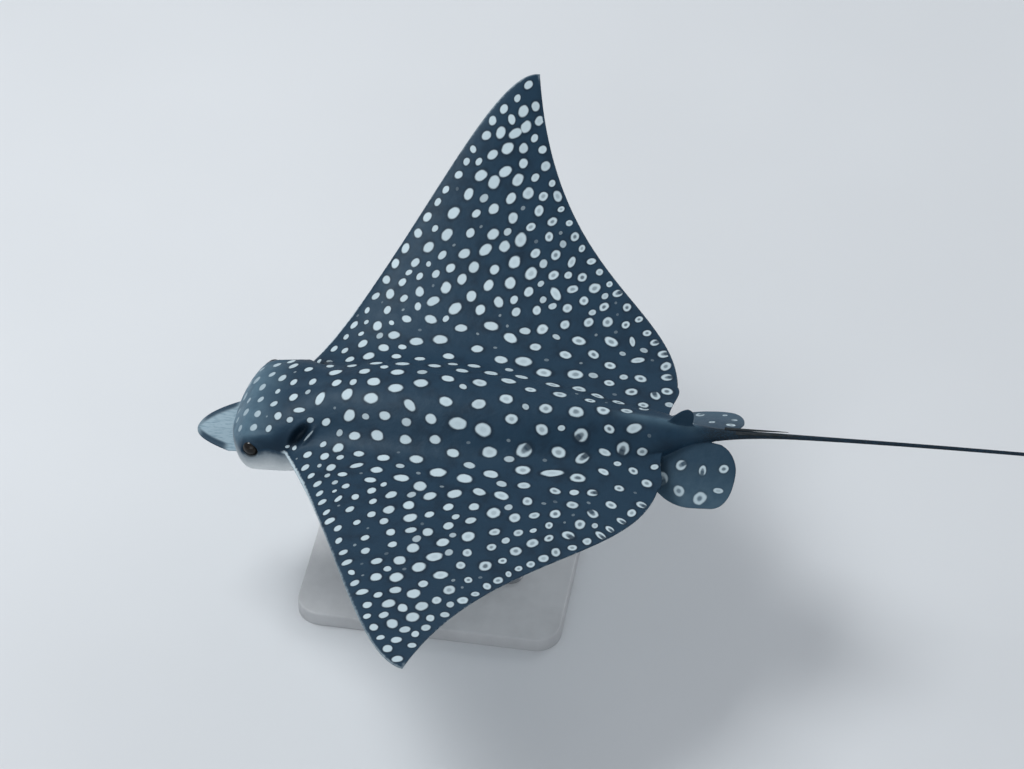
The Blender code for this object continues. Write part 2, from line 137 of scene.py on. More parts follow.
@dataclass(frozen=True)
class Outline:
    """Plan of the disc laid flat, in (back, side) points; handles are measured from their own ends."""

    half_span: float = 0.800
    wing_root: Pair = (0.206, 0.1205)
    rear_corner: Pair = (0.921, 0.138)
    axil: Pair = (0.918, 0.045)
    tip_back: float = 0.575
    root_handle: Pair = (0.160, 0.257)
    tip_front_handle: Pair = (-0.092, -0.007)
    tip_rear_handle: Pair = (0.068, -0.424)
    corner_front_handle: Pair = (-0.027, 0.208)
    corner_rear_handle: Pair = (0.016, -0.024)
    axil_handle: Pair = (-0.008, 0.042)

    @staticmethod
    def curve(start: Pair, start_handle: Pair, end_handle: Pair, end: Pair, t: Values) -> Array:
        """Points of a cubic curve.

        Args:
            start: First end.
            start_handle: Its handle, from the first end.
            end_handle: The other handle, from the second end.
            end: Second end.
            t: Steps from 0 to 1.

        Returns:
            One (back, side) row for each step.
        """
        t = np.atleast_1d(t)[:, None]
        a, d = np.array(start), np.array(end)
        b, c = a + start_handle, d + end_handle
        return (1 - t) ** 3 * a + 3 * t * (1 - t) ** 2 * b + 3 * t**2 * (1 - t) * c + t**3 * d

    @property
    def wing_tip(self) -> Pair:
        """The outermost point of the wing."""
        return (self.tip_back, self.half_span)

    def front(self, t: Values) -> Array:
        """The leading edge, from the wing root to the tip."""
        return self.curve(self.wing_root, self.root_handle, self.tip_front_handle, self.wing_tip, t)

    def rear(self, t: Values) -> Array:
        """The trailing edge, from the tip to the rear corner."""
        return self.curve(self.wing_tip, self.tip_rear_handle, self.corner_front_handle, self.rear_corner, t)

    def inner(self, t: Values) -> Array:
        """The rounded free corner, back to the body at the axil."""
        return self.curve(self.rear_corner, self.corner_rear_handle, self.axil_handle, self.axil, t)

    def chord(self, side: Array) -> tuple[Array, Array]:
        """Where the wing's edges lie; both run on inside the body.

        Args:
            side: Distances from the middle, not below 0.

        Returns:
            Places along the back of the front edge, and of the rear edge.
        """
        steps = np.linspace(0, 1, 300)
        front, rear = self.front(steps), self.rear(steps)[::-1]
        front_back = np.interp(side, front[:, 1], front[:, 0])
        front_back = front_back - 1.5 * np.clip(self.wing_root[1] - side, 0, None)
        return front_back, np.interp(side, rear[:, 1], rear[:, 0]) + 0.010


@dataclass(frozen=True)
class BodyForm:
    """Sections of the head, trunk, wings and tail of the flat animal."""

    outline: Outline = Outline()
    nose_back: float = 0.080
    nose_length: float = 0.055
    neck_back: float = 0.200
    tail_back: float = 1.000
    tail_end: float = 4.300
    stations: tuple[tuple[float, float, float, float], ...] = (
        (0.080, 0.106, 0.014, -0.070),
        (0.110, 0.117, 0.036, -0.077),
        (0.140, 0.121, 0.049, -0.081),
        (0.170, 0.1205, 0.059, -0.084),
        (0.206, 0.1205, 0.070, -0.086),
        (0.280, 0.145, 0.084, -0.086),
        (0.370, 0.178, 0.092, -0.084),
        (0.480, 0.192, 0.091, -0.080),
        (0.600, 0.176, 0.081, -0.070),
        (0.720, 0.136, 0.064, -0.055),
        (0.830, 0.088, 0.046, -0.038),
        (0.918, 0.045, 0.031, -0.025),
        (0.960, 0.024, 0.021, -0.018),
        (1.000, 0.0145, 0.0145, -0.0145),
    )
    head_drop: float = 0.019
    back_dome: Triple = (2.1, 1.7, 0.55)
    belly_dome: Triple = (3.0, 1.3, -0.45)
    blend: float = 0.012
    root_thickness: float = 0.080
    tip_thickness: float = 0.005
    front_power: float = 0.55
    rear_power: float = 1.05
    taper_power: float = 1.35
    thickest: float = 0.34
    rim: float = 0.005
    back_points: int = 70
    belly_points: int = 46
    whip_back: float = 1.2
    whip_radius: float = 0.0016
    whip_swelling: float = 0.0024
    root_swelling: float = 0.00047
    tail_share: int = 6
    nose_rings: int = 30
    head_rings: int = 32
    front_rings: int = 124
    rear_rings: int = 116
    corner_rings: int = 34
    root_rings: int = 16
    tail_rings: int = 72
    front_end: float = 0.545
    corner_start: float = 0.858
    corner_end: float = 0.912
    root_gap: float = 0.006

    def station(self, back: Values, column: int) -> Array:
        """One column of the stations, read smoothly.

        Args:
            back: Places along the back.
            column: 1 for half the width, 2 for the top, 3 for the bottom.

        Returns:
            The column's value at each place.
        """
        table = np.array(self.stations)
        at, values = table[:, 0], table[:, column]
        slopes = np.gradient(values, at)
        back = np.clip(back, at[0], at[-1])
        i = np.clip(np.searchsorted(at, back) - 1, 0, len(at) - 2)
        step = at[i + 1] - at[i]
        t = (back - at[i]) / step
        ends = (2 * t**3 - 3 * t**2 + 1) * values[i] + (3 * t**2 - 2 * t**3) * values[i + 1]
        return ends + ((t**3 - 2 * t**2 + t) * slopes[i] + (t**3 - t**2) * slopes[i + 1]) * step

    def nose_growth(self, back: Values) -> Array:
        """How the blunt nose swells from nothing to the full section."""
        return quarter((np.asarray(back) - self.nose_back) / self.nose_length)

    def level(self, back: Values) -> Array:
        """Height of the body's widest line: the wings' plane, and a little lower along the head."""
        return self.head_drop * (between(back, 0.100, 0.220) - 1)

    def half_width(self, back: Values) -> Array:
        """Half the body's width without its wings."""
        return np.maximum(self.station(back, 1) * self.nose_growth(back), 1e-4)

    def wing_thickness(self, back: Array, side: Array) -> Array:
        """Whole thickness of the wing.

        Args:
            back: Places along the back.
            side: Distances from the middle, not below 0.

        Returns:
            The thickness at each place of the plan.
        """
        front_back, rear_back = self.outline.chord(side)
        x = np.clip((back - front_back) / np.maximum(rear_back - front_back, 1e-4), 0, 1)
        foil = (x / self.thickest) ** self.front_power * ((1 - x) / (1 - self.thickest)) ** self.rear_power
        taper = np.clip(1 - side / self.outline.half_span, 0, 1) ** self.taper_power
        return (self.root_thickness * taper + self.tip_thickness) * np.clip(foil, 0, 1)

    def heights(self, back: Array, side: Array) -> tuple[Array, Array]:
        """Heights of the back skin and the belly skin over the level line.

        Args:
            back: Places along the back.
            side: Distances from the middle, not below 0.

        Returns:
            The upper heights and the lower ones, which are negative.
        """
        wing = self.wing_thickness(back, side) * self.nose_growth(back)
        half = self.half_width(back)
        inside = np.clip(side / half, 0, 1)
        skirt = 0.5 * np.clip(side - half, 0, None)
        spread = between(back, 0.190, 0.320) * (1 - between(back, 0.800, 0.920))
        result = []
        for column, (power, flare, share) in ((2, self.back_dome), (3, self.belly_dome)):
            dome = abs(self.station(back, column) - self.level(back)) * self.nose_growth(back)
            inner_power = power + (2 - power) * spread
            outer_power = 1 / power + (flare - 1 / power) * spread
            over = dome * (1 - inside**inner_power) ** outer_power - skirt - wing * abs(share)
            joined = wing * abs(share) + 0.5 * (over + np.sqrt(over**2 + (self.blend * spread) ** 2))
            result.append(math.copysign(1, share) * joined)
        return result[0], result[1]

    def surface(self, back: Values, side: Values, upper: bool = True) -> Array:
        """Height of the back skin, or of the belly skin, at a place of the plan."""
        pair = self.heights(np.atleast_1d(back), np.atleast_1d(abs(side)))
        return self.level(back) + pair[0 if upper else 1]

    def ring(self, centre_back: float, margin: Array, rim: float) -> Array:
        """One closed section, from the middle line to a margin point on either side.

        Args:
            centre_back: Where it crosses the middle line.
            margin: The margin point on the left, as (back, side).
            rim: The run over which its edge rounds off.

        Returns:
            Its points, from the top down the left side and up the right.
        """
        g = np.sin(np.linspace(0, np.pi / 2, 500))
        back = centre_back + (margin[0] - centre_back) * g
        side = margin[1] * g
        reach = float(np.hypot(margin[0] - centre_back, margin[1]))
        closing = quarter((1 - g) * reach / max(rim, 1e-9))
        pull = 0.2 + 0.6 * min(reach / 0.45, 1)
        halves = []
        for height, count in zip(self.heights(back, side), (self.back_points, self.belly_points)):
            up = self.level(back) + height * closing
            steps = np.sqrt(np.diff(side) ** 2 + np.diff(up) ** 2 + np.diff(back) ** 2)
            run = np.concatenate([[0], np.cumsum(steps)])
            t = np.linspace(0, 1, count)
            at = (t + pull * np.sin(np.pi * t) / np.pi) * run[-1]
            points = np.stack([np.interp(at, run, line) for line in (side, back, up)], 1)
            points[-1, 2] = self.level(margin[0])
            halves.append(points)
        left = np.concatenate([halves[0], halves[1][-2::-1]])
        return np.concatenate([left, left[-2:0:-1] * (-1, 1, 1)])

    def level_ring(self, back: float) -> Array:
        """A section straight across, where the body has no wing."""
        return self.ring(back, np.array([back, float(self.half_width(back))]), 0.0)

    def tail_radius(self, back: Values) -> Array:
        """Radius of the tail, a long whip that thickens at its root.

        Args:
            back: Places along the back.

        Returns:
            The radius at each place.
        """
        past = np.asarray(back) - self.whip_back
        swelling = self.whip_swelling * np.exp(-past / 1.2) + self.root_swelling * np.exp(-past / 0.065)
        return self.whip_radius + swelling

    def tail_ring(self, back: float, like: Array) -> Array:
        """A round section of the tail, whose points bunch in groups so that they merge into fewer.

        Args:
            back: Its place along the back.
            like: A section whose points lie in the same directions.

        Returns:
            Its points.
        """
        turn = np.arctan2(like[:, 0], like[:, 2])
        share = 2 * np.pi / (len(like) // self.tail_share)
        turn = np.round(turn / share) * share
        radius = float(self.tail_radius(back))
        places = [radius * np.sin(turn), np.full(len(like), back), radius * np.cos(turn)]
        return np.round(np.stack(places, 1), 7)

    @staticmethod
    def bunched(share: float, amount: float) -> float:
        """A share from 0 to 1, moved so that even steps bunch toward both ends."""
        return share - amount * math.sin(2 * math.pi * share) / (2 * math.pi)

    def rings(self) -> list[Array]:
        """Every section from the nose to the tail's end.

        Returns:
            Sections of equal count, of which the first and the last each lie in one point.
        """
        swell = self.nose_length * (1 - np.cos(np.linspace(0.04, np.pi / 2, self.nose_rings)))
        head = np.linspace(self.nose_back + self.nose_length, self.neck_back, self.head_rings)[1:]
        rings = [self.level_ring(back) for back in (*(self.nose_back + swell), *head)]
        outline = self.outline
        first, last = outline.wing_root[0], self.front_end
        for step in np.linspace(0, 1, self.front_rings):
            step = self.bunched(step, 0.5)
            rim = self.rim * float(between(step, 0, 0.15))
            rings.append(self.ring(first + (last - first) * step, outline.front(step)[0], rim))
        first, last = last, self.corner_start
        for step in np.linspace(0, 1, self.rear_rings)[1:]:
            step = self.bunched(step, 0.4)
            rings.append(self.ring(first + (last - first) * step, outline.rear(step)[0], self.rim))
        first, last = last, self.corner_end
        for step in np.linspace(0, 1, self.corner_rings)[1:]:
            rim = self.rim * float(1 - between(step, 0.6, 1))
            rings.append(self.ring(first + (last - first) * step, outline.inner(step)[0], rim))
        root = np.linspace(last + self.root_gap, self.tail_back, self.root_rings)
        rings += [self.level_ring(back) for back in root]
        like = rings[-1]
        for share in np.linspace(0, 1, self.tail_rings)[1:] ** 1.6:
            rings.append(self.tail_ring(self.tail_back + (self.tail_end - self.tail_back) * share, like))
        nose = np.tile([0, self.nose_back, float(self.level(self.nose_back))], (len(like), 1))
        return [nose, *rings, np.tile([0, self.tail_end, 0], (len(like), 1))]


@dataclass(frozen=True)
class Pose:
    """The gliding pose, which moves flat places to where the frame has the animal."""

    half_span: float = Outline.half_span
    left_wing: Triple = (8.0, 25.8, -19.1)
    right_wing: Triple = (8.0, 30.5, -11.6)
    bend_start: Pair = (0.08, 0.30)
    wing_twist: float = -0.25
    twist_back: float = 0.576
    tail_start: float = 0.950
    tail_end: float = BodyForm.tail_end
    tail_rise: float = 0.012
    tail_sag: float = -0.20
    tail_sway: float = 0.22
    pivot_back: float = 0.560
    pivot_height: float = 0.420
    base_back: float = 0.480
    bank_deg: float = 3.45
    nose_down_deg: float = 4.67

    def bent(self, distance: Array, angles: Triple) -> list[Array]:
        """How a wing bends.

        Args:
            distance: Distances out along its skin.
            angles: Its slope in degrees, as a constant, a linear and a square term.

        Returns:
            Sideways reach, height and slope at each distance.
        """
        s = np.linspace(0, 1.1, 300)
        slope = np.radians(angles[0] + angles[1] * s + angles[2] * s * s) * between(s, *self.bend_start)
        step = self.half_span * (s[1] - s[0])
        lines = [np.cos(slope), np.sin(slope)]
        sums = [np.concatenate([[0], np.cumsum((line[1:] + line[:-1]) / 2 * step)]) for line in lines]
        return [np.interp(distance, self.half_span * s, line) for line in (*sums, slope)]

    def place(self, points: Array) -> Array:
        """Where the frame has flat points.

        Args:
            points: Flat places, one to a row.

        Returns:
            The points in the frame.
        """
        side, back, up = np.asarray(points, float).reshape(-1, 3).T
        out = abs(side)
        both = zip(self.bent(out, self.left_wing), self.bent(out, self.right_wing))
        reach, rise, slope = (np.where(side > 0, left, right) for left, right in both)
        x = np.sign(side) * (reach - up * np.sin(slope))
        z = rise + up * np.cos(slope) + self.wing_twist * (back - self.twist_back) * out / self.half_span
        tail = np.clip((back - self.tail_start) / (self.tail_end - self.tail_start), 0, 1)
        x += self.tail_sway * tail**2 * (1 - 0.55 * tail)
        z += self.tail_rise * between(back, 0.85, 1.15) + self.tail_sag * tail**2
        banked = Matrix.Rotation(math.radians(self.bank_deg), 3, "Y")
        turned = np.array(Matrix.Rotation(math.radians(self.nose_down_deg), 3, "X") @ banked)
        placed = np.stack([x, back - self.pivot_back, z], 1) @ turned.T
        return placed + (0, self.pivot_back - self.base_back, self.pivot_height)

    def mesh(self, mesh: Mesh) -> None:
        """Moves a flat mesh's points to where the frame has them."""
        mesh.vertices.foreach_set("co", self.place(points_of(mesh)).astype(np.float32).ravel())
        mesh.update()


def read(rows: object, name: str, kind: type = float, width: int = 1) -> Array:
    """One property of every row.

    Args:
        rows: A mesh's points, faces or corners.
        name: The property.
        kind: Its number type.
        width: How many numbers it has.

    Returns:
        Its values.
    """
    values = np.empty(len(rows) * width, kind)
    rows.foreach_get(name, values)
    return values.reshape(-1, width) if width > 1 else values


def points_of(mesh: Mesh) -> Array:
    """Every point of a mesh, one to a row."""
    return read(mesh.vertices, "co", width=3)


@dataclass(frozen=True)
class Faces:
    """A mesh's faces, with their corners in one row."""

    parts: Array
    centres: Array
    normals: Array
    areas: Array
    first_points: Array
    corner_points: Array
    corner_faces: Array

    @classmethod
    def of(cls, mesh: Mesh) -> "Faces":
        """Reads a mesh's faces.

        Args:
            mesh: The mesh, whose material numbers are part numbers.

        Returns:
            Its faces.
        """
        faces = mesh.polygons
        points = read(mesh.loops, "vertex_index", int)
        return cls(
            parts=read(faces, "material_index", int),
            centres=read(faces, "center", width=3),
            normals=read(faces, "normal", width=3),
            areas=read(faces, "area"),
            first_points=points[read(faces, "loop_start", int)],
            corner_points=points,
            corner_faces=np.repeat(np.arange(len(faces)), read(faces, "loop_total", int)),
        )


def rolled(rings: list[Array]) -> Shape:
    """A closed skin through rings of equal count, rolled up from one grid.

    Args:
        rings: Sections in order; one whose points all coincide closes that end.

    Returns:
        The skin, with its points merged where they coincide and its faces outward.
    """
    bm = bmesh.new()
    bmesh.ops.create_grid(bm, x_segments=len(rings[0]), y_segments=len(rings) - 1, size=1.0)
    places = np.concatenate([np.concatenate([ring, ring[:1]]) for ring in rings])
    for vertex, place in zip(bm.verts, places):
        vertex.co = place
    bmesh.ops.remove_doubles(bm, verts=bm.verts, dist=1e-7)
    bmesh.ops.recalc_face_normals(bm, faces=bm.faces)
    return bm


def capped(rings: list[Array]) -> list[Array]:
    """Sections with a point in the middle of each end, which closes it."""
    first, last = (np.tile(ring.mean(0), (len(ring), 1)) for ring in (rings[0], rings[-1]))
    return [first, *rings, last]


def new_piece(name: str, bm: Shape, finish: Material | None = None, sharp_deg: float | None = None) -> Piece:
    """A smooth-shaded object of a bmesh, which is freed.

    Args:
        name: The object's name.
        bm: Its shape, in place.
        finish: Its material, if it is dressed now.
        sharp_deg: The angle from which its edges are sharp, if any are.

    Returns:
        The object, linked to the scene.
    """
    mesh = bpy.data.meshes.new(name)
    bm.to_mesh(mesh)
    bm.free()
    mesh.shade_smooth()
    if sharp_deg is not None:
        mesh.set_sharp_from_angle(angle=math.radians(sharp_deg))
    obj = bpy.data.objects.new(name, mesh)
    bpy.context.scene.collection.objects.link(obj)
    if finish is not None:
        mesh.materials.append(finish)
    return obj


def joined(base: Piece, others: list[Piece]) -> Piece:
    """The union of closed pieces.

    Args:
        base: The piece that becomes the union.
        others: The other pieces, which are removed.

    Returns:
        The base piece.
    """
    for other in others:
        modifier = base.modifiers.new(other.name, "BOOLEAN")
        modifier.operation = "UNION"
        modifier.object = other
        modifier.material_mode = "INDEX"
    graph = bpy.context.evaluated_depsgraph_get()
    mesh = bpy.data.meshes.new_from_object(base.evaluated_get(graph))
    base.modifiers.clear()
    base.data = mesh
    for other in others:
        bpy.data.objects.remove(other)
    return base


class Graph:
    """A short way to write one material's nodes."""

    def __init__(self, name: str) -> None:
        """Starts an empty node material.

        Args:
            name: Its name.
        """
        self.material = bpy.data.materials.new(name)
        self.material.use_nodes = True
        self.tree = self.material.node_tree
        self.tree.nodes.clear()
        self.place = self.node("TexCoord", {})["Object"]

    def put(self, socket: Socket, value: object) -> None:
        """Links a socket to another, or sets its value.

        Args:
            socket: The input.
            value: The other socket, a number, or a colour.
        """
        if isinstance(value, Socket):
            self.tree.links.new(value, socket)
        elif isinstance(value, tuple) and len(value) == 3 and socket.type == "RGBA":
            socket.default_value = (*value, 1.0)
        else:
            socket.default_value = value

    def node(self, kind: str, inputs: dict[str | int, object], **settings: object) -> Sockets:
        """Adds a node.

        Args:
            kind: Its type, less the word that all shader nodes start with.
            inputs: What goes into its inputs, by their name or number.
            **settings: Its other settings.

        Returns:
            Its outputs.
        """
        node = self.tree.nodes.new("ShaderNode" + kind)
        for name, value in settings.items():
            setattr(node, name, value)
        for name, value in inputs.items():
            self.put(node.inputs[name], value)
        return node.outputs

    def math(self, operation: str, *values: object) -> Socket:
        """The result of one Math operation on its values."""
        return self.node("Math", dict(enumerate(values)), operation=operation)[0]

    def mix(self, factor: object, first: object, second: object) -> Socket:
        """A colour between two others; the factor is the second one's share."""
        return self.node("Mix", {0: factor, 6: first, 7: second}, data_type="RGBA")[2]

    def step(self, value: object, first: float, last: float, low: float = 0.0, high: float = 1.0) -> Socket:
        """A smooth step of the value, from low at the first limit to high at the last."""
        limits = (first, last, low, high) if first < last else (last, first, high, low)
        return self.node("MapRange", dict(enumerate((value, *limits))), interpolation_type="SMOOTHSTEP")[0]

    def noise(self, scale: float, detail: float = 2.0, rough: float = 0.5, at: object = None) -> Sockets:
        """A noise, value first and colour next, read on object places if no others are given."""
        inputs = {"Vector": at or self.place, "Scale": scale, "Detail": detail, "Roughness": rough}
        return self.node("TexNoise", inputs)

    def stretched(self, scale: Triple) -> Socket:
        """Object places scaled along each axis, for a grain that runs one way."""
        return self.node("Mapping", {"Vector": self.place, "Scale": scale})[0]

    def split(self, colour: Socket) -> Sockets:
        """The three channels of a colour."""
        return self.node("SeparateColor", {0: colour})

    def map(self, name: str) -> Sockets:
        """The coordinates of a named map."""
        return self.node("SeparateXYZ", {0: self.node("UVMap", {}, uv_map=name)[0]})

    def attribute(self, name: str) -> list[Socket]:
        """The four channels of a named colour attribute."""
        outputs = self.node("Attribute", {}, attribute_name=name)
        return [*self.split(outputs["Color"]), outputs["Alpha"]]

    def value(self, name: str) -> Socket:
        """The value of a named attribute of one number."""
        return self.node("Attribute", {}, attribute_name=name)["Fac"]

    def bump(self, height: Socket, distance: float, **under: Socket) -> Socket:
        """A normal raised by a height, over the one given as Normal if there is one."""
        return self.node("Bump", {"Strength": 1.0, "Distance": distance, "Height": height, **under})[0]

    def finish(self, **inputs: object) -> Material:
        """Ends the material in a Principled shader.

        Args:
            **inputs: The shader's inputs, whose names have _ for a space.

        Returns:
            The material.
        """
        spaced = {name.replace("_", " "): value for name, value in inputs.items()}
        self.node("OutputMaterial", {"Surface": self.node("BsdfPrincipled", spaced)[0]})
        return self.material


@dataclass(frozen=True)
class SkinFinish:
    """Smooth wet skin: dark slate above with pale spots and rings, white below, a near black tail; a painted
    reflection pales the head's dome, and painted shade darkens a band along the head's side and the pits and
    slits.
    """

    deep: Triple = (0.0045, 0.0175, 0.0360)
    slate: Triple = (0.010, 0.034, 0.064)
    # head and brow: paler tones for the head's dome, a painted reflection of light from above
    head: Triple = (0.105, 0.185, 0.245)
    brow: Triple = (0.07, 0.13, 0.18)
    spot: Triple = (0.54, 0.65, 0.70)
    belly: Triple = (0.70, 0.74, 0.75)
    dusk: Triple = (0.16, 0.21, 0.25)
    tail: Triple = (0.005, 0.009, 0.014)
    lobe: Triple = (0.30, 0.40, 0.46)
    rim: Triple = (0.012, 0.036, 0.064)
    # painted shade: a near black for the pits, slits and openings of the local forms
    hollow: Triple = (0.003, 0.006, 0.010)
    sheen: Triple = (0.72, 0.89, 1.00)

    @staticmethod
    def spot_mask(graph: Graph, number: str) -> tuple[Socket, Socket]:
        """Where one of a face's two spots lies, and how near its edge is.

        Args:
            graph: The material's nodes.
            number: Which spot, the end of its map's and attribute's names.

        Returns:
            The spot's own strength, and the dark halo's round it.
        """
        along, across, _ = graph.map("spot_" + number)
        ringed, notched, faint, _ = graph.attribute("kind_" + number)
        wobble = graph.split(graph.noise(62, 1.0)[1])
        along = graph.math("ADD", along, graph.math("MULTIPLY_ADD", wobble[0], 0.34, -0.17))
        across = graph.math("ADD", across, graph.math("MULTIPLY_ADD", wobble[1], 0.34, -0.17))
        squares = graph.math("MULTIPLY_ADD", along, along, graph.math("MULTIPLY", across, across))
        radius = graph.math("SQRT", squares)
        inside = graph.step(radius, 1.14, 0.82)
        centre = graph.math("MULTIPLY", graph.step(radius, 0.62, 0.22), ringed)
        sideways = graph.math("ABSOLUTE", across)
        gap = graph.math("MULTIPLY", graph.step(along, -0.15, 0.35), graph.step(sideways, 0.72, 0.34))
        gap = graph.math("MULTIPLY", gap, notched)
        closed = graph.math("MULTIPLY_ADD", centre, -0.80, 1.0)
        open_share = graph.math("MULTIPLY", closed, graph.math("SUBTRACT", 1.0, gap))
        clear = graph.math("SUBTRACT", 1.0, faint)
        strength = graph.math("MULTIPLY", graph.math("MULTIPLY", inside, open_share), clear)
        halo = graph.math("MULTIPLY", graph.step(radius, 1.75, 1.05), graph.step(radius, 0.45, 1.0, 0.3, 1.0))
        halo = graph.math("MULTIPLY", halo, clear)
        return strength, halo

    def material(self) -> Material:
        """The skin's material, on its maps and attributes.

        Returns:
            The material.
        """
        graph = Graph("ray_skin")
        strengths, halos = zip(*(self.spot_mask(graph, number) for number in ("near", "next")))
        strength = graph.math("MAXIMUM", *strengths)
        halo = graph.math("MAXIMUM", *halos)
        edge, band, leading = (graph.value(name) for name in ("edge", "band", "leading"))
        pale_tone_and_sheen, hollow, lobe, tail = graph.attribute("zones")
        cloud = graph.noise(26, 3.0, 0.6)[0]
        broad = graph.noise(6.5, 2.0, 0.5)[0]
        fine = graph.noise(420, 3.0, 0.6)[0]
        tone = graph.math("MULTIPLY_ADD", cloud, 1.9, graph.math("MULTIPLY_ADD", broad, 0.9, -0.60))
        tone = graph.math("MULTIPLY_ADD", halo, -0.75, tone)
        back = graph.mix(graph.step(tone, 0.0, 1.0), self.deep, self.slate)
        # painted shade: a band along the side of the head, from the eye past the spiracle to the wing's root,
        # darkens toward the deep colour
        back = graph.mix(graph.math("MULTIPLY", band, 0.85), back, self.deep)
        # painted reflection: the head's dome turns paler toward the snout as if lit from above; the same
        # share paints a highlight on the ridge before the dorsal fin and gives the fins and lobe a paler tone
        back = graph.mix(pale_tone_and_sheen, back, graph.mix(graph.step(cloud, 0.35, 0.65), self.head, self.brow))
        spot = graph.mix(graph.math("MULTIPLY", pale_tone_and_sheen, 0.55), self.spot, self.head)
        back = graph.mix(strength, back, spot)
        ragged = graph.math("MULTIPLY_ADD", graph.noise(140, 2.0)[0], 0.006, edge)
        belly = graph.mix(graph.step(ragged, -0.050, 0.004), self.belly, self.dusk)
        # painted shade: the same band also darkens the pale side just under the colour line
        belly = graph.mix(graph.math("MULTIPLY", graph.step(ragged, -0.012, 0.002), band), belly, self.slate)
        belly = graph.mix(graph.step(cloud, 0.62, 0.30, 0.0, 0.12), belly, self.dusk)
        upper = graph.step(ragged, 0.0022, 0.0046)
        softer = graph.step(ragged, -0.0040, 0.0090)
        softening = graph.math("SUBTRACT", softer, upper)
        upper = graph.math("MULTIPLY_ADD", softening, graph.step(pale_tone_and_sheen, 0.0, 0.4), upper)
        colour = graph.mix(upper, belly, back)
        line = graph.math("MULTIPLY", graph.step(ragged, -0.0020, 0.0020), graph.step(ragged, 0.0085, 0.0040))
        colour = graph.mix(graph.math("MULTIPLY", line, leading), colour, self.spot)
        streaks = graph.noise(1.0, 3.0, 0.6, graph.stretched((260, 40, 260)))[0]
        pale = graph.mix(graph.step(streaks, 0.45, 0.70, 0.0, 0.6), self.lobe, self.head)
        pale = graph.mix(graph.step(lobe, 0.0, 0.8), self.rim, pale)
        colour = graph.mix(graph.math("MULTIPLY", graph.step(lobe, 0.0, 0.06), upper), colour, pale)
        whip = graph.mix(graph.step(fine, 0.4, 0.7), self.tail, self.slate)
        colour = graph.mix(tail, colour, whip)
        # painted shade: the pits, slits and openings of the local forms darken toward a near black
        colour = graph.mix(hollow, colour, self.hollow)
        rough = graph.math("MULTIPLY_ADD", graph.noise(60, 2.0)[0], 0.20, 0.42)
        grain = graph.math("MULTIPLY_ADD", graph.noise(1400, 2.0)[0], 0.35, fine)
        normal = graph.bump(grain, 0.00022)
        normal = graph.bump(graph.noise(48, 2.0)[0], 0.0011, Normal=normal)
        sheen = {"Specular_IOR_Level": 0.27, "Specular_Tint": self.sheen}
        coat = {"Coat_Weight": 0.02, "Coat_Roughness": 0.35}
        return graph.finish(Base_Color=colour, Roughness=rough, Normal=normal, **sheen, **coat)


@dataclass(frozen=True)
class EyeFinish:
    """A dark glossy eye: a black sideways pupil in a brown iris with gold flecks."""

    pupil: Triple = (0.0015, 0.0015, 0.0020)
    iris: Triple = (0.0090, 0.0075, 0.0065)
    flecks: Triple = (0.070, 0.048, 0.026)

    def material(self) -> Material:
        """The eye's material, on the map named iris.

        Returns:
            The material.
        """
        graph = Graph("eye_black")
        across, up, _ = graph.map("iris")
        wide = graph.math("MULTIPLY", across, 0.72)
        reach = graph.math("SQRT", graph.math("MULTIPLY_ADD", wide, wide, graph.math("MULTIPLY", up, up)))
        flecks = graph.step(graph.noise(1500, 3.0, 0.7)[0], 0.52, 0.70)
        ringed = graph.math("MULTIPLY", flecks, graph.step(reach, 0.62, 0.40))
        colour = graph.mix(ringed, self.iris, self.flecks)
        colour = graph.mix(graph.step(reach, 0.36, 0.31), colour, self.pupil)
        normal = graph.bump(graph.noise(900, 2.0)[0], 0.00005)
        coat = {"Coat_Weight": 0.45, "Coat_Roughness": 0.03}
        return graph.finish(Base_Color=colour, Roughness=0.10, Normal=normal, Specular_IOR_Level=0.10, **coat)


@dataclass(frozen=True)
class StingFinish:
    """Dull bone with darker skin left in streaks along its length."""

    bone: Triple = (0.021, 0.028, 0.033)
    skin: Triple = (0.0050, 0.0085, 0.0120)

    def material(self) -> Material:
        """The stings' material.

        Returns:
            The material.
        """
        graph = Graph("sting_bone")
        grain = graph.noise(1.0, 4.0, 0.6, graph.stretched((900, 60, 900)))[0]
        colour = graph.mix(graph.step(grain, 0.40, 0.62), self.bone, self.skin)
        normal = graph.bump(grain, 0.0003)
        rough = graph.math("MULTIPLY_ADD", grain, 0.3, 0.50)
        return graph.finish(Base_Color=colour, Roughness=rough, Normal=normal, Specular_IOR_Level=0.25)


@dataclass(frozen=True)
class BoardFinish:
    """Satin paint on board, with a faint roller texture and a faint cloudy change of tone."""

    paint: Triple = (0.56, 0.57, 0.58)
    shade: Triple = (0.47, 0.48, 0.49)

    def material(self) -> Material:
        """The board's material.

        Returns:
            The material.
        """
        graph = Graph("stand_board")
        cloud = graph.noise(9, 4.0, 0.6)[0]
        colour = graph.mix(graph.step(cloud, 0.35, 0.75), self.paint, self.shade)
        peel = graph.noise(520, 2.0, 0.5)[0]
        rough = graph.math("MULTIPLY_ADD", graph.noise(30, 3.0)[0], 0.16, 0.36)
        return graph.finish(Base_Color=colour, Roughness=rough, Normal=graph.bump(peel, 0.00012))


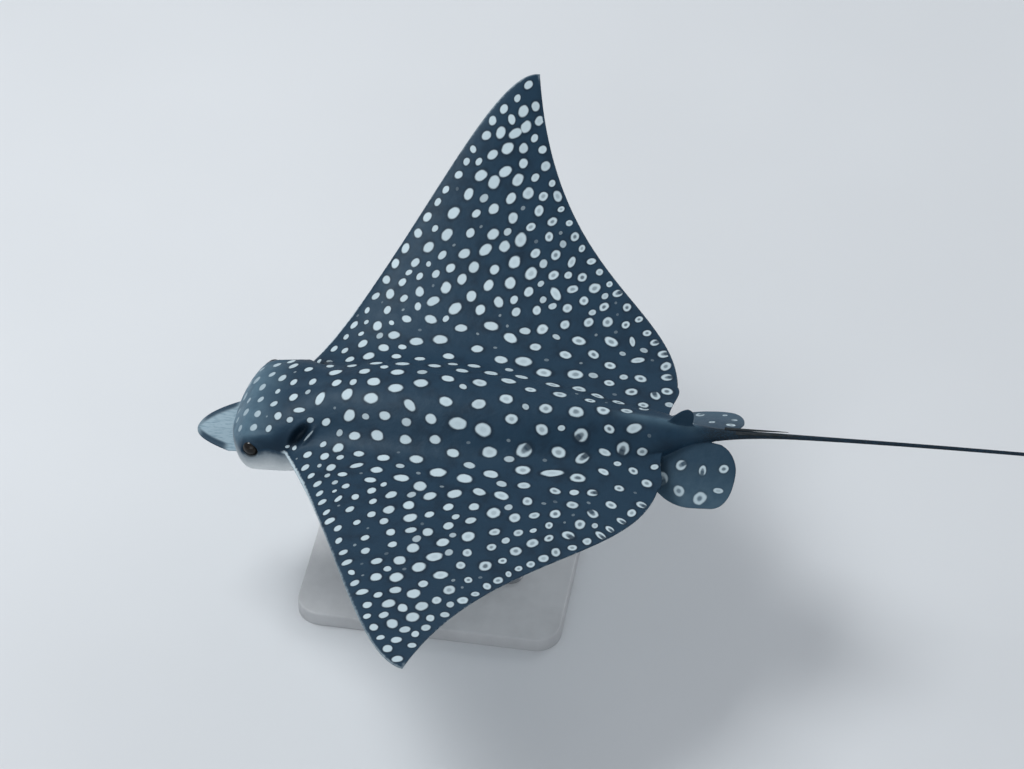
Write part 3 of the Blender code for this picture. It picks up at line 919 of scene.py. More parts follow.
@dataclass(frozen=True)
class SteelFinish:
    """Brushed steel, with its grain round the rods."""

    steel: Triple = (0.55, 0.56, 0.58)
    dull: Triple = (0.42, 0.43, 0.45)

    def material(self) -> Material:
        """The rods' and collars' material.

        Returns:
            The material.
        """
        graph = Graph("stand_steel")
        grain = graph.noise(1.0, 3.0, 0.7, graph.stretched((30, 30, 2600)))[0]
        cloud = graph.noise(40, 3.0, 0.6)[0]
        colour = graph.mix(graph.step(cloud, 0.35, 0.7), self.steel, self.dull)
        rough = graph.math("MULTIPLY_ADD", grain, 0.22, 0.20)
        normal = graph.bump(grain, 0.00004)
        return graph.finish(Base_Color=colour, Metallic=1.0, Roughness=rough, Normal=normal)


@dataclass(frozen=True)
class FloorFinish:
    """A plain pale studio floor with a trace of unevenness."""

    pale: Triple = (0.72, 0.74, 0.76)
    shade: Triple = (0.69, 0.71, 0.73)

    def material(self) -> Material:
        """The floor's material.

        Returns:
            The material.
        """
        graph = Graph("studio_floor")
        cloud = graph.noise(0.8, 3.0, 0.5)[0]
        colour = graph.mix(graph.step(cloud, 0.3, 0.7), self.pale, self.shade)
        return graph.finish(Base_Color=colour, Roughness=0.75)


@dataclass(frozen=True)
class Relief:
    """One local form of the skin: a pit, slit, ridge or mound, an ellipse pushed along one direction."""

    place: Triple
    outward: Triple
    along: Triple
    half_length: float
    half_width: float
    depth: float
    lip: float = 0.0
    # painted shade: how dark the form's pit is painted
    pit_shade_strength: float = 0.0
    wall: Pair = (0.50, 1.08)
    window: float = 0.030

    def reach(self, points: Array) -> tuple[Array, Array]:
        """Where points lie in the ellipse.

        Args:
            points: Flat places, one to a row.

        Returns:
            How far out each lies, in shares of the ellipse, and how far off the skin's own layer.
        """
        outward = unit(self.outward)
        along = unit(np.array(self.along) - outward * np.dot(self.along, outward))
        offset = points - np.array(self.place)
        a = offset @ along / self.half_length
        b = offset @ np.cross(outward, along) / self.half_width
        return np.hypot(a, b), abs(offset @ outward)

    def push(self, points: Array) -> tuple[Array, Array]:
        """How each point moves, and how much painted shade it gets.

        Args:
            points: Flat places.

        Returns:
            The moves, and the painted shade from 0 to 1.
        """
        share, off = self.reach(points)
        near = 1 - between(off, self.window, self.window * 1.5)
        pit = 1 - between(share, *self.wall)
        lip = np.exp(-(((share - 1.28) / 0.26) ** 2))
        move = (self.lip * lip - self.depth * pit) * near
        # painted shade inside the pit, fading out toward its wall
        dark = self.pit_shade_strength * (1 - between(share, 0.75, 1.12)) * near
        return move[:, None] * unit(self.outward), dark

    def near(self, points: Array) -> Array:
        """Which points need the finer mesh."""
        share, off = self.reach(points)
        return (share < 1.7 + 0.004 / min(self.half_width, self.half_length)) & (off < self.window)

    def mirrored(self) -> "Relief":
        """The same form on the animal's other side."""
        flipped = [(-side, back, up) for side, back, up in (self.place, self.outward, self.along)]
        return replace(self, place=flipped[0], outward=flipped[1], along=flipped[2])


@dataclass(frozen=True)
class HeadForms:
    """Everything that the skin forms locally: orbits, spiracles, mouth, nostrils, gill slits and vent."""

    form: BodyForm
    eye_place: Triple = (0.107, 0.139, -0.001)
    spiracle_place: Triple = (0.104, 0.235, 0.036)
    spiracle_outward: Triple = (0.80, 0.10, 0.60)
    spiracle_slant: Triple = (0.025, -0.040, -0.046)
    gill_pairs: int = 5

    def belly_place(self, side: float, back: float) -> Triple:
        """A place on the belly skin."""
        return (side, back, float(self.form.surface(back, side, upper=False)[0]))

    def eye_forms(self) -> list[Relief]:
        """The left orbit: a soft mound, the opening in it, a brow over it and a fold under it.

        Returns:
            Its forms.
        """
        side, back, up = self.eye_place
        rim = (side + 0.014, back, up)
        brow = (side - 0.002, back + 0.012, up + 0.028)
        fold = (side + 0.012, back + 0.004, up - 0.021)
        outward = (1.0, -0.12, 0.10)
        return [
            Relief(rim, outward, (0, 1, 0), 0.044, 0.034, -0.0034, wall=(0.0, 1.0)),
            Relief(brow, (0.7, -0.05, 0.7), (0, 1, 0.15), 0.040, 0.013, -0.0030, wall=(0.0, 1.1)),
            Relief(rim, outward, (0, 1, 0.1), 0.0150, 0.0125, 0.0150, 0.0024, 0.85, (0.72, 1.06)),
            Relief(fold, outward, (0, 1, 0.2), 0.026, 0.004, 0.0016, wall=(0.0, 1.2)),
        ]

    def spiracle_forms(self) -> list[Relief]:
        """The left spiracle: a deep slanted opening behind the eye, with a raised rear edge.

        Returns:
            Its forms.
        """
        outward, slant = self.spiracle_outward, self.spiracle_slant
        behind = tuple(p + q for p, q in zip(self.spiracle_place, (0.004, 0.020, 0.006)))
        return [
            Relief(self.spiracle_place, outward, slant, 0.031, 0.0135, 0.0170, 0.0008, 0.45, (0.20, 1.15)),
            Relief(behind, outward, slant, 0.032, 0.0060, -0.0036, wall=(0.0, 1.2)),
        ]

    def mouth_forms(self) -> list[Relief]:
        """The mouth across the underside, between two soft folds.

        Returns:
            Its forms.
        """
        down = (0, 0, -1)
        return [
            Relief(self.belly_place(0.0, 0.128), down, (1, 0, 0), 0.036, 0.0110, -0.0042, wall=(0.2, 1.1)),
            Relief(self.belly_place(0.0, 0.143), down, (1, 0, 0), 0.038, 0.0038, 0.0100, 0.0012, 0.9),
            Relief(self.belly_place(0.0, 0.155), down, (1, 0, 0), 0.032, 0.0070, -0.0030, wall=(0.0, 1.1)),
        ]

    def gill_forms(self) -> list[Relief]:
        """The left gill slits, in a slanting row.

        Returns:
            One form for each.
        """
        found = []
        for number in range(self.gill_pairs):
            place = self.belly_place(0.082 - 0.0055 * number, 0.198 + 0.027 * number)
            length = 0.0125 - 0.0008 * number
            found.append(Relief(place, (0, 0, -1), (1, 0.42, 0), length, 0.0019, 0.0036, 0.0009, 0.75))
        return found

    def all(self) -> list[Relief]:
        """Every form, on both sides and along the middle.

        Returns:
            The forms.
        """
        nose, cloaca, down = self.belly_place(0.033, 0.122), self.belly_place(0.0, 0.942), (0, 0, -1)
        nostril = Relief(nose, down, (0.6, 1, 0), 0.0075, 0.0030, 0.0060, 0.0008, 0.9)
        vent = Relief(cloaca, down, (0, 1, 0), 0.012, 0.0028, 0.0045, 0.0010, 0.6)
        paired = [*self.eye_forms(), *self.spiracle_forms(), *self.gill_forms(), nostril]
        return [*paired, *(form.mirrored() for form in paired), *self.mouth_forms(), vent]


@dataclass(frozen=True)
class Ground:
    """The faces that may carry the middle of a spot."""

    centres: Array
    normals: Array
    areas: Array
    parts: Array


@dataclass(frozen=True)
class Scatter:
    """A round of spots: room and sizes in shares of a main spot's, how many to each one before, how faint."""

    room: float
    least_sizes_apart: float
    most: float
    sizes: Pair
    faint: Pair


class Round(Enum):
    """The rounds in which spots are scattered."""

    MAIN = Scatter(room=1.00, least_sizes_apart=2.10, most=math.inf, sizes=(0.76, 1.14), faint=(0.00, 0.10))
    SMALL = Scatter(room=0.66, least_sizes_apart=1.85, most=0.17, sizes=(0.54, 0.78), faint=(0.00, 0.35))
    SPECKS = Scatter(room=0.54, least_sizes_apart=1.50, most=0.12, sizes=(0.24, 0.40), faint=(0.60, 0.88))


@dataclass
class Spots:
    """The markings: each spot's place, axes and part, and how open, notched and faint it is."""

    form: BodyForm
    rng: np.random.Generator = field(default_factory=lambda: np.random.default_rng(SEED))
    places: list[Array] = field(default_factory=list)
    drawn: list[Array] = field(default_factory=list)
    alongs: list[Array] = field(default_factory=list)
    acrosses: list[Array] = field(default_factory=list)
    kinds: list[Triple] = field(default_factory=list)
    parts: list[int] = field(default_factory=list)
    head_radius: float = 0.0072
    neck_radius_gain: float = 0.0036
    back_radius_gain: float = 0.0020
    head_spacing: float = 0.0310
    neck_spacing_gain: float = 0.0088
    back_spacing_gain: float = 0.0037
    wing_spacing: float = 0.0318
    edge_spacing: float = 0.0230
    drawing_in: float = 0.35
    pelvic_sparseness: float = 0.22

    @staticmethod
    def outness(side: Array) -> Array:
        """How far out on the wing a place is, from 0 on the body to 1 near the tip."""
        return between(abs(side), 0.22, 0.72)

    def drawn_in(self, points: Array) -> Array:
        """Places with the span drawn in toward the tips, where spots lie further apart along it.

        Args:
            points: One flat place, or one to a row.

        Returns:
            The places drawn in.
        """
        steps = np.linspace(0, self.form.outline.half_span, 200)
        reach = np.cumsum(1 / (1 + self.drawing_in * self.outness(steps))) * steps[1]
        points = np.array(points, float)
        points[..., 0] = np.sign(points[..., 0]) * np.interp(abs(points[..., 0]), steps, reach - reach[0])
        return points

    def chord_share(self, side: Array, back: Array) -> Array:
        """How far back places are between the wing's front edge (0) and its rear edge (1)."""
        front_back, rear_back = self.form.outline.chord(abs(side))
        return (back - front_back) / np.maximum(rear_back - front_back, 1e-3)

    @staticmethod
    def left_wing(side: Array) -> Array:
        """How much further apart the markings are on the left wing than on the right one."""
        return 1 + 0.07 * between(side, 0.15, 0.35)

    def wing_root(self, side: Array, back: Array) -> Array:
        """How near places are to the root of the wing's leading edge, where spots are small and close."""
        near = (1 - between(self.chord_share(side, back), 0.12, 0.35)) * (1 - between(abs(side), 0.24, 0.42))
        return near * between(abs(side), 0.105, 0.135)

    def size(self, side: Array, back: Array) -> Array:
        """Radius of a main spot.

        Args:
            side: Distances out, below 0 on the right.
            back: Places along the back.

        Returns:
            The radius at each place.
        """
        out = abs(side)
        body = self.head_radius + self.neck_radius_gain * between(back, 0.14, 0.34)
        body = body + self.back_radius_gain * between(back, 0.34, 0.52)
        body = body * (1 - 0.16 * between(back, 0.90, 0.95))
        share = self.chord_share(side, back)
        wing = between(out, 0.14, 0.28) * (0.14 - 0.06 * between(share, 0.30, 0.65))
        wing = 1 - wing - 0.08 * between(out, 0.52, 0.70)
        wing = wing * self.left_wing(side) ** 0.3 * (1 - 0.20 * between(share, 0.55, 0.95))
        return body * wing * (1 - 0.12 * self.wing_root(side, back))

    def spacing(self, side: Array, back: Array) -> Array:
        """Least distance between two main spots.

        Args:
            side: Distances out, below 0 on the right.
            back: Places along the back.

        Returns:
            The distance at each place.
        """
        out = abs(side)
        body = self.head_spacing + self.neck_spacing_gain * between(back, 0.15, 0.34)
        body = body + self.back_spacing_gain * between(back, 0.34, 0.50)
        body = body - 0.0045 * between(back, 0.65, 0.85) - 0.0020 * between(back, 0.90, 0.95)
        wing = self.wing_spacing - 0.0098 * between(out, 0.42, 0.70)
        wing = wing - 0.0030 * between(self.chord_share(side, back), 0.65, 0.92)
        spacing = body + (wing - body) * between(out, 0.14, 0.34) * (back > 0.2)
        return (spacing - 0.0070 * self.wing_root(side, back)) * self.left_wing(side)

    def openness(self, side: Array, back: Array) -> Array:
        """How open a main spot's middle is at each place: solid in front, a ring toward the rear edge."""
        inward = 1 - 0.85 * between(abs(side), 0.46, 0.62)
        return between(self.chord_share(side, back), 0.42, 0.90) * inward

    @staticmethod
    def across_body(place: Array, normal: Array, turn: float) -> Array:
        """A direction in the skin, turned from straight out across the body.

        Args:
            place: Where it starts.
            normal: The skin's outward direction there.
            turn: The turn, toward the back on the left side.

        Returns:
            The direction.
        """
        span = np.array([math.copysign(1.0, place[0]), 0, 0])
        first = unit(span - normal * (span @ normal))
        return math.cos(turn) * first + math.sin(turn) * np.cross(normal, first)

    def add(
        self, place: Array, along: Array, up: Array, size: float, stretch: float, kind: Triple, part: int = 0
    ) -> None:
        """Adds one spot.

        Args:
            place: Its middle, flat.
            along: The direction of its length, and of its notch.
            up: The skin's outward direction there.
            size: Its mean radius.
            stretch: Its length over its width.
            kind: How open, notched and faint it is.
            part: The part that carries it.
        """
        self.places.append(place)
        self.drawn.append(self.drawn_in(place))
        self.alongs.append(along / (size * math.sqrt(stretch)))
        self.acrosses.append(np.cross(up, along) / (size / math.sqrt(stretch)))
        self.kinds.append(kind)
        self.parts.append(part)

    @staticmethod
    def clear_of(others: list[Array], place: Array, room: float) -> bool:
        """Whether a place keeps its distance.

        Args:
            others: The places to keep from.
            place: The place.
            room: The distance.

        Returns:
            True if it does.
        """
        if not others:
            return True
        offset = np.array(others) - place
        return bool((np.einsum("ij,ij->i", offset, offset) > room * room).all())

    def edge_rows(self) -> None:
        """Rows of spots just inside the leading and trailing edges of both wings."""
        outline = self.form.outline
        for edge, first, last, inset, gap in (
            (outline.front, 0.07, 0.975, 0.0175, 0.036),
            (outline.rear, 0.05, 0.965, 0.0135, 0.031),
        ):
            line = edge(np.linspace(first, last, 400))
            run = np.concatenate([[0], np.cumsum(np.linalg.norm(np.diff(line, axis=0), axis=1))])
            for side in Side:
                at = gap * self.rng.uniform(0.2, 0.8)
                while at < run[-1]:
                    self.edge_spot(line, run, at, inset, side)
                    at += gap * self.rng.uniform(0.82, 1.20)

    def edge_spot(self, line: Array, run: Array, at: float, inset: float, side: Side) -> None:
        """One spot of an edge row.

        Args:
            line: Points of the edge, as (back, side).
            run: Their distances along it.
            at: Where along it the spot lies.
            inset: About how far inside the edge it lies.
            side: Which wing.
        """
        here, ahead = (np.array([np.interp(step, run, row) for row in line.T]) for step in (at, at + 0.004))
        forward = unit(ahead - here + 1e-9)
        rising = forward[1] > 0
        inward = np.array([abs(forward[1]), -forward[0]]) if rising else np.array([forward[1], -forward[0]])
        back, out = here + inward * inset * self.rng.uniform(0.85, 1.45)
        place = np.array([side * out, back, float(self.form.surface(back, out)[0])])
        if not self.clear_of(self.drawn, self.drawn_in(place), self.edge_spacing):
            return
        small = self.rng.uniform(0.66, 1.02)
        openness = float(self.openness(out, back)) * self.rng.uniform(0.3, 1.0)
        turn, notched = self.rng.normal(-0.36, 0.26), 0.0
        if not rising and self.rng.random() < 0.65 * float(between(at / run[-1], 0.45, 0.80)):
            turn, notched, openness = math.atan2(-side * inward[0], -inward[1]), 0.9, 0.9
        up = np.array([0, 0, 1.0])
        kind = (openness, notched, self.rng.uniform(0.0, 0.12))
        size = float(self.size(out, back)) * small
        self.add(place, self.across_body(place, up, turn), up, size, self.rng.uniform(1.25, 1.65), kind)

    def evened(self, ground: Ground, drawn: Array, picks: list[int], rounds: int = 3) -> list[int]:
        """Moves new spots toward the middle of the skin that is nearest to each, so that they lie evenly.

        Args:
            ground: The faces that may carry a spot.
            drawn: Their places, drawn in.
            picks: The faces picked for new spots.
            rounds: How often the spots move.

        Returns:
            The faces that carry them after the moves.
        """
        weights = ground.areas / self.spacing(ground.centres[:, 0], ground.centres[:, 1]) ** 4
        faces = tree_of(drawn)
        for _ in range(rounds):
            spots = [*self.drawn, *drawn[picks]]
            tree = tree_of(spots)
            owner = np.array([tree.find(place)[1] for place in drawn])
            total = np.maximum(np.bincount(owner, weights, len(spots)), 1e-12)
            sums = np.stack([np.bincount(owner, weights * axis, len(spots)) for axis in drawn.T], 1)
            picks = [faces.find(middle)[1] for middle in (sums / total[:, None])[len(self.drawn) :]]
        return sorted(set(picks))

    def scatter(self, ground: Ground, which: Round) -> None:
        """One round of spots, dropped wherever there is still room for them.

        Args:
            ground: The faces that may carry a spot.
            which: The round.
        """
        this, first = which.value, which is Round.MAIN
        most = this.most if first else int(this.most * len(self.places))
        side, back = ground.centres[:, 0], ground.centres[:, 1]
        sizes, openness = self.size(side, back), self.openness(side, back)
        room = this.room * (1 + self.pelvic_sparseness * (ground.parts == Part.PELVIC))
        room = np.maximum(room * self.spacing(side, back), this.least_sizes_apart * sizes)
        drawn = self.drawn_in(ground.centres)
        chances = self.rng.random(len(side)) ** (np.median(ground.areas) / np.maximum(ground.areas, 1e-12))
        if not first:
            tree = tree_of(self.drawn)
            gaps = np.array([tree.find(place)[2] for place in drawn])
            chances = gaps / room * self.rng.uniform(0.8, 1.2, len(side))
        picks: list[int] = []
        near = list(self.drawn)
        for i in np.argsort(-chances):
            if len(picks) < most and self.clear_of(near, drawn[i], room[i]):
                picks.append(int(i))
                near.append(drawn[i])
        if first:
            picks = self.evened(ground, drawn, picks)
        for i in picks:
            self.drop(ground, i, float(sizes[i]), float(openness[i]), which)

    def drop(self, ground: Ground, i: int, size: float, openness: float, which: Round) -> None:
        """Adds one scattered spot with a shape of its own.

        Args:
            ground: The faces that may carry a spot.
            i: The face that carries this one.
            size: Radius of a main spot there.
            openness: How open a main spot is there.
            which: The round that it belongs to.
        """
        rng, place = self.rng, ground.centres[i]
        out = float(self.outness(place[0]))
        rear = float(between(place[1], 0.62, 0.86)) * (1 - out)
        front = 1 - float(between(place[1], 0.26, 0.42))
        wing = float(between(abs(place[0]), 0.14, 0.32))
        stretch = rng.uniform(1.0, 1.20) + 0.14 * (1 - wing) + 0.30 * wing + 0.12 * out
        lean = 0.08 + 0.50 * front * (1 - 0.6 * wing) + 0.28 * wing * (1 - front)
        turn = rng.normal(-lean, 0.32 - 0.12 * wing)
        turn += 0.5 * math.pi * (front < 0.5 and wing < 0.5)
        openness *= rng.uniform(0.6, 1.25)
        notched = 0.0
        faint = {each: rng.uniform(*each.value.faint) for each in Round}[which]
        if which is not Round.MAIN:
            openness *= 0.25
        elif rng.random() < 0.26 * rear:
            notched, openness, stretch, turn = 0.9, 0.9, rng.uniform(1.0, 1.4), rng.uniform(0, 2 * math.pi)
        elif rng.random() < 0.02 + 0.20 * rear:
            openness, stretch, turn = openness * 0.3, rng.uniform(1.6, 2.4), turn + rng.normal(0, 0.5)
        size *= rng.uniform(*which.value.sizes)
        if ground.parts[i] == Part.PELVIC:
            size *= rng.uniform(0.55, 1.20)
        along = self.across_body(place, ground.normals[i], turn)
        kind = (min(openness, 1.0), notched, faint)
        self.add(place, along, ground.normals[i], size, stretch, kind, int(ground.parts[i]))

    def spiracle_marks(self, forms: HeadForms) -> None:
        """The pale line behind each spiracle and the two small marks below it.

        Args:
            forms: The head's forms.
        """
        for side in Side:
            flip = np.array([side, 1, 1])
            outward = unit(forms.spiracle_outward) * flip
            slant = unit(forms.spiracle_slant) * flip
            slant = unit(slant - outward * (slant @ outward))
            behind = (np.array(forms.spiracle_place) + (0.0035, 0.0185, 0.0040)) * flip
            self.add(behind, slant, outward, 0.0052, 7.0, (0.0, 0.0, 0.45))
            for back, size in ((0.2125, 0.0034), (0.2265, 0.0036)):
                out = float(self.form.half_width(back)) - 0.0022
                place = np.array([side * out, back, float(self.form.level(back)) + 0.0165])
                across = unit((side, 0, 0.35))
                self.add(place, np.array([0, 0.94, 0.34]), across, size, 1.6, (0.0, 0.0, 0.05))


@dataclass
class RaySkin:
    """The one skin over all flesh: head, snout lobe, disc, fins and tail."""

    form: BodyForm = BodyForm()
    pose: Pose = Pose()
    finish: SkinFinish = SkinFinish()
    lobe_length: float = 0.085
    lobe_half_width: float = 0.072
    lobe_height: float = -0.050
    lobe_thickness: float = 0.0105
    pelvic_root: Pair = (0.012, -0.008)
    pelvic_reach: float = 0.122
    pelvic_droop_deg: float = 22.0
    dorsal_back: float = 0.912
    dorsal_length: float = 0.056
    dorsal_height: float = 0.036
    ridge_height: float = 0.0035
    ridge_width: float = 0.011
    marked_edge: float = 0.004
    marked_end: float = 1.060
    middles_edge: float = 0.013
    middles_end: float = 0.990
    spiracle_clearance: float = 0.038
    neighbours: int = 8

    def body(self) -> Shape:
        """Head, disc and tail, from nose to tail end."""
        return rolled(self.form.rings())

    def lobe_ring(self, back: float, count: int = 72) -> Array:
        """A flat section of the snout lobe: thick rolled edges and a thinner, slightly hollow middle.

        Args:
            back: Its place along the back.
            count: How many points it has.

        Returns:
            Its points.
        """
        grown = min(back / self.lobe_length, 1.0)
        buried = float(between(back, self.lobe_length, self.lobe_length + 0.034))
        half = self.lobe_half_width * math.sqrt(grown) * (1 - 0.45 * buried)
        thick = self.lobe_thickness * (0.60 + 0.65 * grown) * (1 - 0.30 * buried)
        sine, cosine = circle(count)
        side = half * signed_power(sine, 0.8)
        inner = 1 - abs(side) / max(half, 1e-6)
        hollow = 1 - 0.42 * between(inner * half, 0.008, 0.024)
        up = 0.5 * thick * hollow * signed_power(cosine, 0.8)
        return np.stack([side, np.full(count, back), self.lobe_height + up], 1)

    def lobe(self) -> Shape:
        """The snout lobe, a flat pointed spade.

        Returns:
            Its closed skin.
        """
        backs = self.lobe_length * (1 - np.cos(np.linspace(0.04, np.pi / 2, 34)))
        inside = self.lobe_length + np.linspace(0.003, 0.036, 12)
        rings = [self.lobe_ring(back) for back in (*backs, *inside)]
        tip = np.tile([0, 0, self.lobe_height], (len(rings[0]), 1))
        end = np.tile([0, rings[-1][0, 1] + 0.002, self.lobe_height], (len(rings[0]), 1))
        return rolled([tip, *rings, end])

    @staticmethod
    def fin_section(chord: float, thick: float, count: int = 56) -> tuple[Array, Array]:
        """A leaf shape of a fin's thickness across and its chord along the back."""
        sine, cosine = circle(count)
        return 0.5 * chord * cosine, 0.5 * thick * signed_power(sine, 0.8)

    def pelvic(self, side: Side) -> Shape:
        """A pelvic fin, from its root under the tail to its round tip.

        Args:
            side: Which fin.

        Returns:
            Its closed skin.
        """
        droop = math.radians(self.pelvic_droop_deg)
        rings = []
        for step in np.sin(np.linspace(0, np.pi / 2, 40)):
            rounding = 1 - math.sqrt(max(1 - step**4, 0))
            front = 0.862 + 0.045 * step + 0.070 * rounding
            rear = 1.004 + 0.054 * float(quarter(step / 0.5)) - 0.042 * rounding
            thick = max(0.012 * (1 - 0.75 * step), 0.0022)
            along, across = self.fin_section(rear - front, thick)
            out = self.pelvic_root[0] + self.pelvic_reach * step * math.cos(droop) + across * math.sin(droop)
            up = self.pelvic_root[1] - self.pelvic_reach * step * math.sin(droop) + across * math.cos(droop)
            rings.append(np.stack([side * out, (front + rear) / 2 + along, up], 1))
        return rolled(capped(rings))

    def dorsal(self) -> Shape:
        """The small dorsal fin, swept back toward its round top.

        Returns:
            Its closed skin.
        """
        rings = []
        for step in np.sin(np.linspace(0, np.pi / 2, 24)):
            chord = self.dorsal_length * (1 - 0.45 * step) * math.sqrt(max(1 - step**5, 0.012))
            centre = self.dorsal_back + self.dorsal_length * (0.5 + 0.42 * step)
            along, across = self.fin_section(chord, max(0.010 * (1 - 0.7 * step), 0.0022), 40)
            up = 0.012 + (self.dorsal_height + 0.012) * step
            rings.append(np.stack([across, centre + along, np.full(len(along), up)], 1))
        return rolled(capped(rings))

    def assembled(self) -> Piece:
        """The flat animal in one closed mesh.

        Returns:
            The piece, whose faces' material numbers name their part.
        """
        pieces = []
        shapes = (
            (Part.BODY, self.body()),
            (Part.LOBE, self.lobe()),
            (Part.PELVIC, self.pelvic(Side.LEFT)),
            (Part.PELVIC, self.pelvic(Side.RIGHT)),
            (Part.DORSAL, self.dorsal()),
        )
        slots = [bpy.data.materials.new("part_" + part.name.lower()) for part in Part]
        for part, bm in shapes:
            for face in bm.faces:
                face.material_index = part
            piece = new_piece("ray_" + part.name.lower(), bm)
            for slot in slots:
                piece.data.materials.append(slot)
            pieces.append(piece)
        whole = joined(pieces[0], pieces[1:])
        whole.name = "ray_skin"
        LOG.info("ray_skin joined: %d faces", len(whole.data.polygons))
        return whole

    @staticmethod
    def softened(bm: Shape) -> None:
        """Smooths the creases where the parts meet, most of all round the base of the snout lobe.

        Args:
            bm: The flat skin, which is changed.
        """
        everywhere = [vert for vert in bm.verts if len({face.material_index for face in vert.link_faces}) > 1]
        lobes = [vert for vert in everywhere if vert.co.y < 0.2]
        LOG.info("ray_skin has %d points where its parts meet", len(everywhere))
        for seam, reach, rounds in ((everywhere, 0.008, 10), (lobes, 0.017, 26)):
            tree = tree_of([vert.co for vert in seam])
            close = [vert for vert in bm.verts if tree.find(vert.co)[2] < reach]
            for _ in range(rounds):
                bmesh.ops.smooth_vert(
                    bm, verts=close, factor=0.5, use_axis_x=True, use_axis_y=True, use_axis_z=True
                )

    @staticmethod
    def refined(bm: Shape, forms: list[Relief], rounds: int = 3) -> None:
        """Splits the mesh finer round each local form.

        Args:
            bm: The flat skin, which is changed.
            forms: The local forms.
            rounds: How often an edge may split.
        """
        for _ in range(rounds):
            points = np.array([vert.co[:] for vert in bm.verts])
            wanted = np.full(len(points), np.inf)
            for form in forms:
                finest = float(np.clip(0.45 * min(form.half_width, form.half_length), 0.0009, 0.0026))
                wanted[form.near(points)] = np.minimum(wanted[form.near(points)], finest)
            bm.verts.index_update()
            edges = []
            for edge in bm.edges:
                a, b = edge.verts
                if edge.calc_length() > 1.6 * max(wanted[a.index], wanted[b.index]):
                    edges.append(edge)
            if not edges:
                break
            bmesh.ops.subdivide_edges(bm, edges=edges, cuts=1, use_grid_fill=True)

    def sculpted(self, bm: Shape, forms: list[Relief]) -> Array:
        """Pushes the skin into its local forms, and raises the low ridge before the dorsal fin.

        Args:
            bm: The flat skin, which is changed.
            forms: The local forms.

        Returns:
            How much painted shade each point gets in the pits and slits.
        """
        points = np.array([vert.co[:] for vert in bm.verts])
        moved, dark = points.copy(), np.zeros(len(points))
        for form in forms:
            move, shade = form.push(points)
            moved += move
            dark = np.maximum(dark, shade)
        ridge = self.ridge_height * between(moved[:, 1], 0.76, 0.86) * (1 - between(moved[:, 1], 0.955, 1.0))
        moved[:, 2] += ridge * np.exp(-((moved[:, 0] / self.ridge_width) ** 2)) * (moved[:, 2] > 0)
        for vert, place in zip(bm.verts, moved):
            vert.co = place
        return dark

    def edge_distance(self, points: Array, parts: Array) -> Array:
        """How far points are from the line where the back's colour meets the belly's.

        Args:
            points: Flat places, one to a row.
            parts: The part of each.

        Returns:
            The distances, below 0 on the belly's side.
        """
        outline = self.form.outline
        steps = np.linspace(0, 1, 700)
        line = np.concatenate([outline.front(steps), outline.rear(steps), outline.inner(steps)])
        tree = tree_of([(side, back, 0) for back, side in line])
        side, back, up = abs(points[:, 0]), points[:, 1], points[:, 2]
        away = np.array([tree.find((s, b, 0))[2] for s, b in zip(side, back)])
        headed = (back < outline.wing_root[0] + 0.004) | (back > outline.axil[0] + 0.001)
        away[headed] = np.clip(self.form.half_width(back[headed]) - side[headed], 0, None)
        height = up - self.form.level(back)
        found = np.sign(height) * np.hypot(away, height)
        found -= 0.0150 * (1 - between(back, 0.165, 0.212))
        found -= 0.0035 * between(back, 0.195, 0.212) * (1 - between(back, 0.26, 0.33))
        found += 0.03 * between(back, 0.85, 0.93) * (1 - between(side, 0.05, 0.09))
        found += 0.006 * between(back, 0.870, 0.900) * (1 - between(side, 0.140, 0.175))
        droop = math.radians(self.pelvic_droop_deg)
        sheet = self.pelvic_root[1] - (side - self.pelvic_root[0]) * math.tan(droop)
        pelvic = parts == Part.PELVIC
        found[pelvic] = np.clip(14 * (up - sheet) + 0.004, -0.03, 0.03)[pelvic]
        found[parts == Part.DORSAL] = 0.02
        lobe = parts == Part.LOBE
        found[lobe] = np.clip(14 * (up - self.lobe_height) + 0.018, -0.04, 0.03)[lobe]
        return found

    def zones(self, points: Array, parts: Array, dark: Array) -> Array:
        """Four shares for each point: paler tone (a painted reflection on the head's dome, a painted
        highlight on the ridge before the dorsal fin, a paler tone of their own on the fins and lobe), painted
        shade in the hollows, snout lobe and tail.

        Args:
            points: The flat places.
            parts: The part of each.
            dark: How much painted shade the local forms put on each.

        Returns:
            One row of four shares for each point.
        """
        side, back, up = abs(points[:, 0]), points[:, 1], points[:, 2]
        # painted reflection: the head's dome is paler toward the snout, less so inside the painted shade band
        pale_tone_and_sheen = (1 - between(back, 0.088, 0.212)) * (1 - 0.9 * self.band(points))
        # painted highlight along the ridge before the dorsal fin, where the tail's root catches the light
        ridge = between(back, 0.80, 0.88) * (1 - between(back, 0.965, 1.0)) * np.exp(-((side / 0.010) ** 2))
        pale_tone_and_sheen = np.maximum(pale_tone_and_sheen, 0.55 * ridge * (up > 0))
        pelvic = parts == Part.PELVIC
        pale_tone_and_sheen[pelvic] = (0.12 + 0.30 * between(side, 0.04, 0.12))[pelvic]
        pale_tone_and_sheen[parts == Part.DORSAL] = 0.10
        pale_tone_and_sheen[parts == Part.LOBE] = 0.15
        half = self.lobe_half_width * np.sqrt(np.clip(back / self.lobe_length, 1e-4, 1))
        rim = (1 - between(half - side, 0.010, 0.024)) * (0.60 + 0.40 * between(back, 0.003, 0.020))
        rim *= 1 - between(back, 0.060, 0.088)
        lobe = np.where(parts == Part.LOBE, 1 - 0.92 * rim, 0.0)
        tail = np.where(pelvic, 0.0, between(back, 0.965, 1.02))
        # the second share is the painted shade in the pits and slits of the local forms
        return np.stack([pale_tone_and_sheen, dark, lobe, tail], 1)

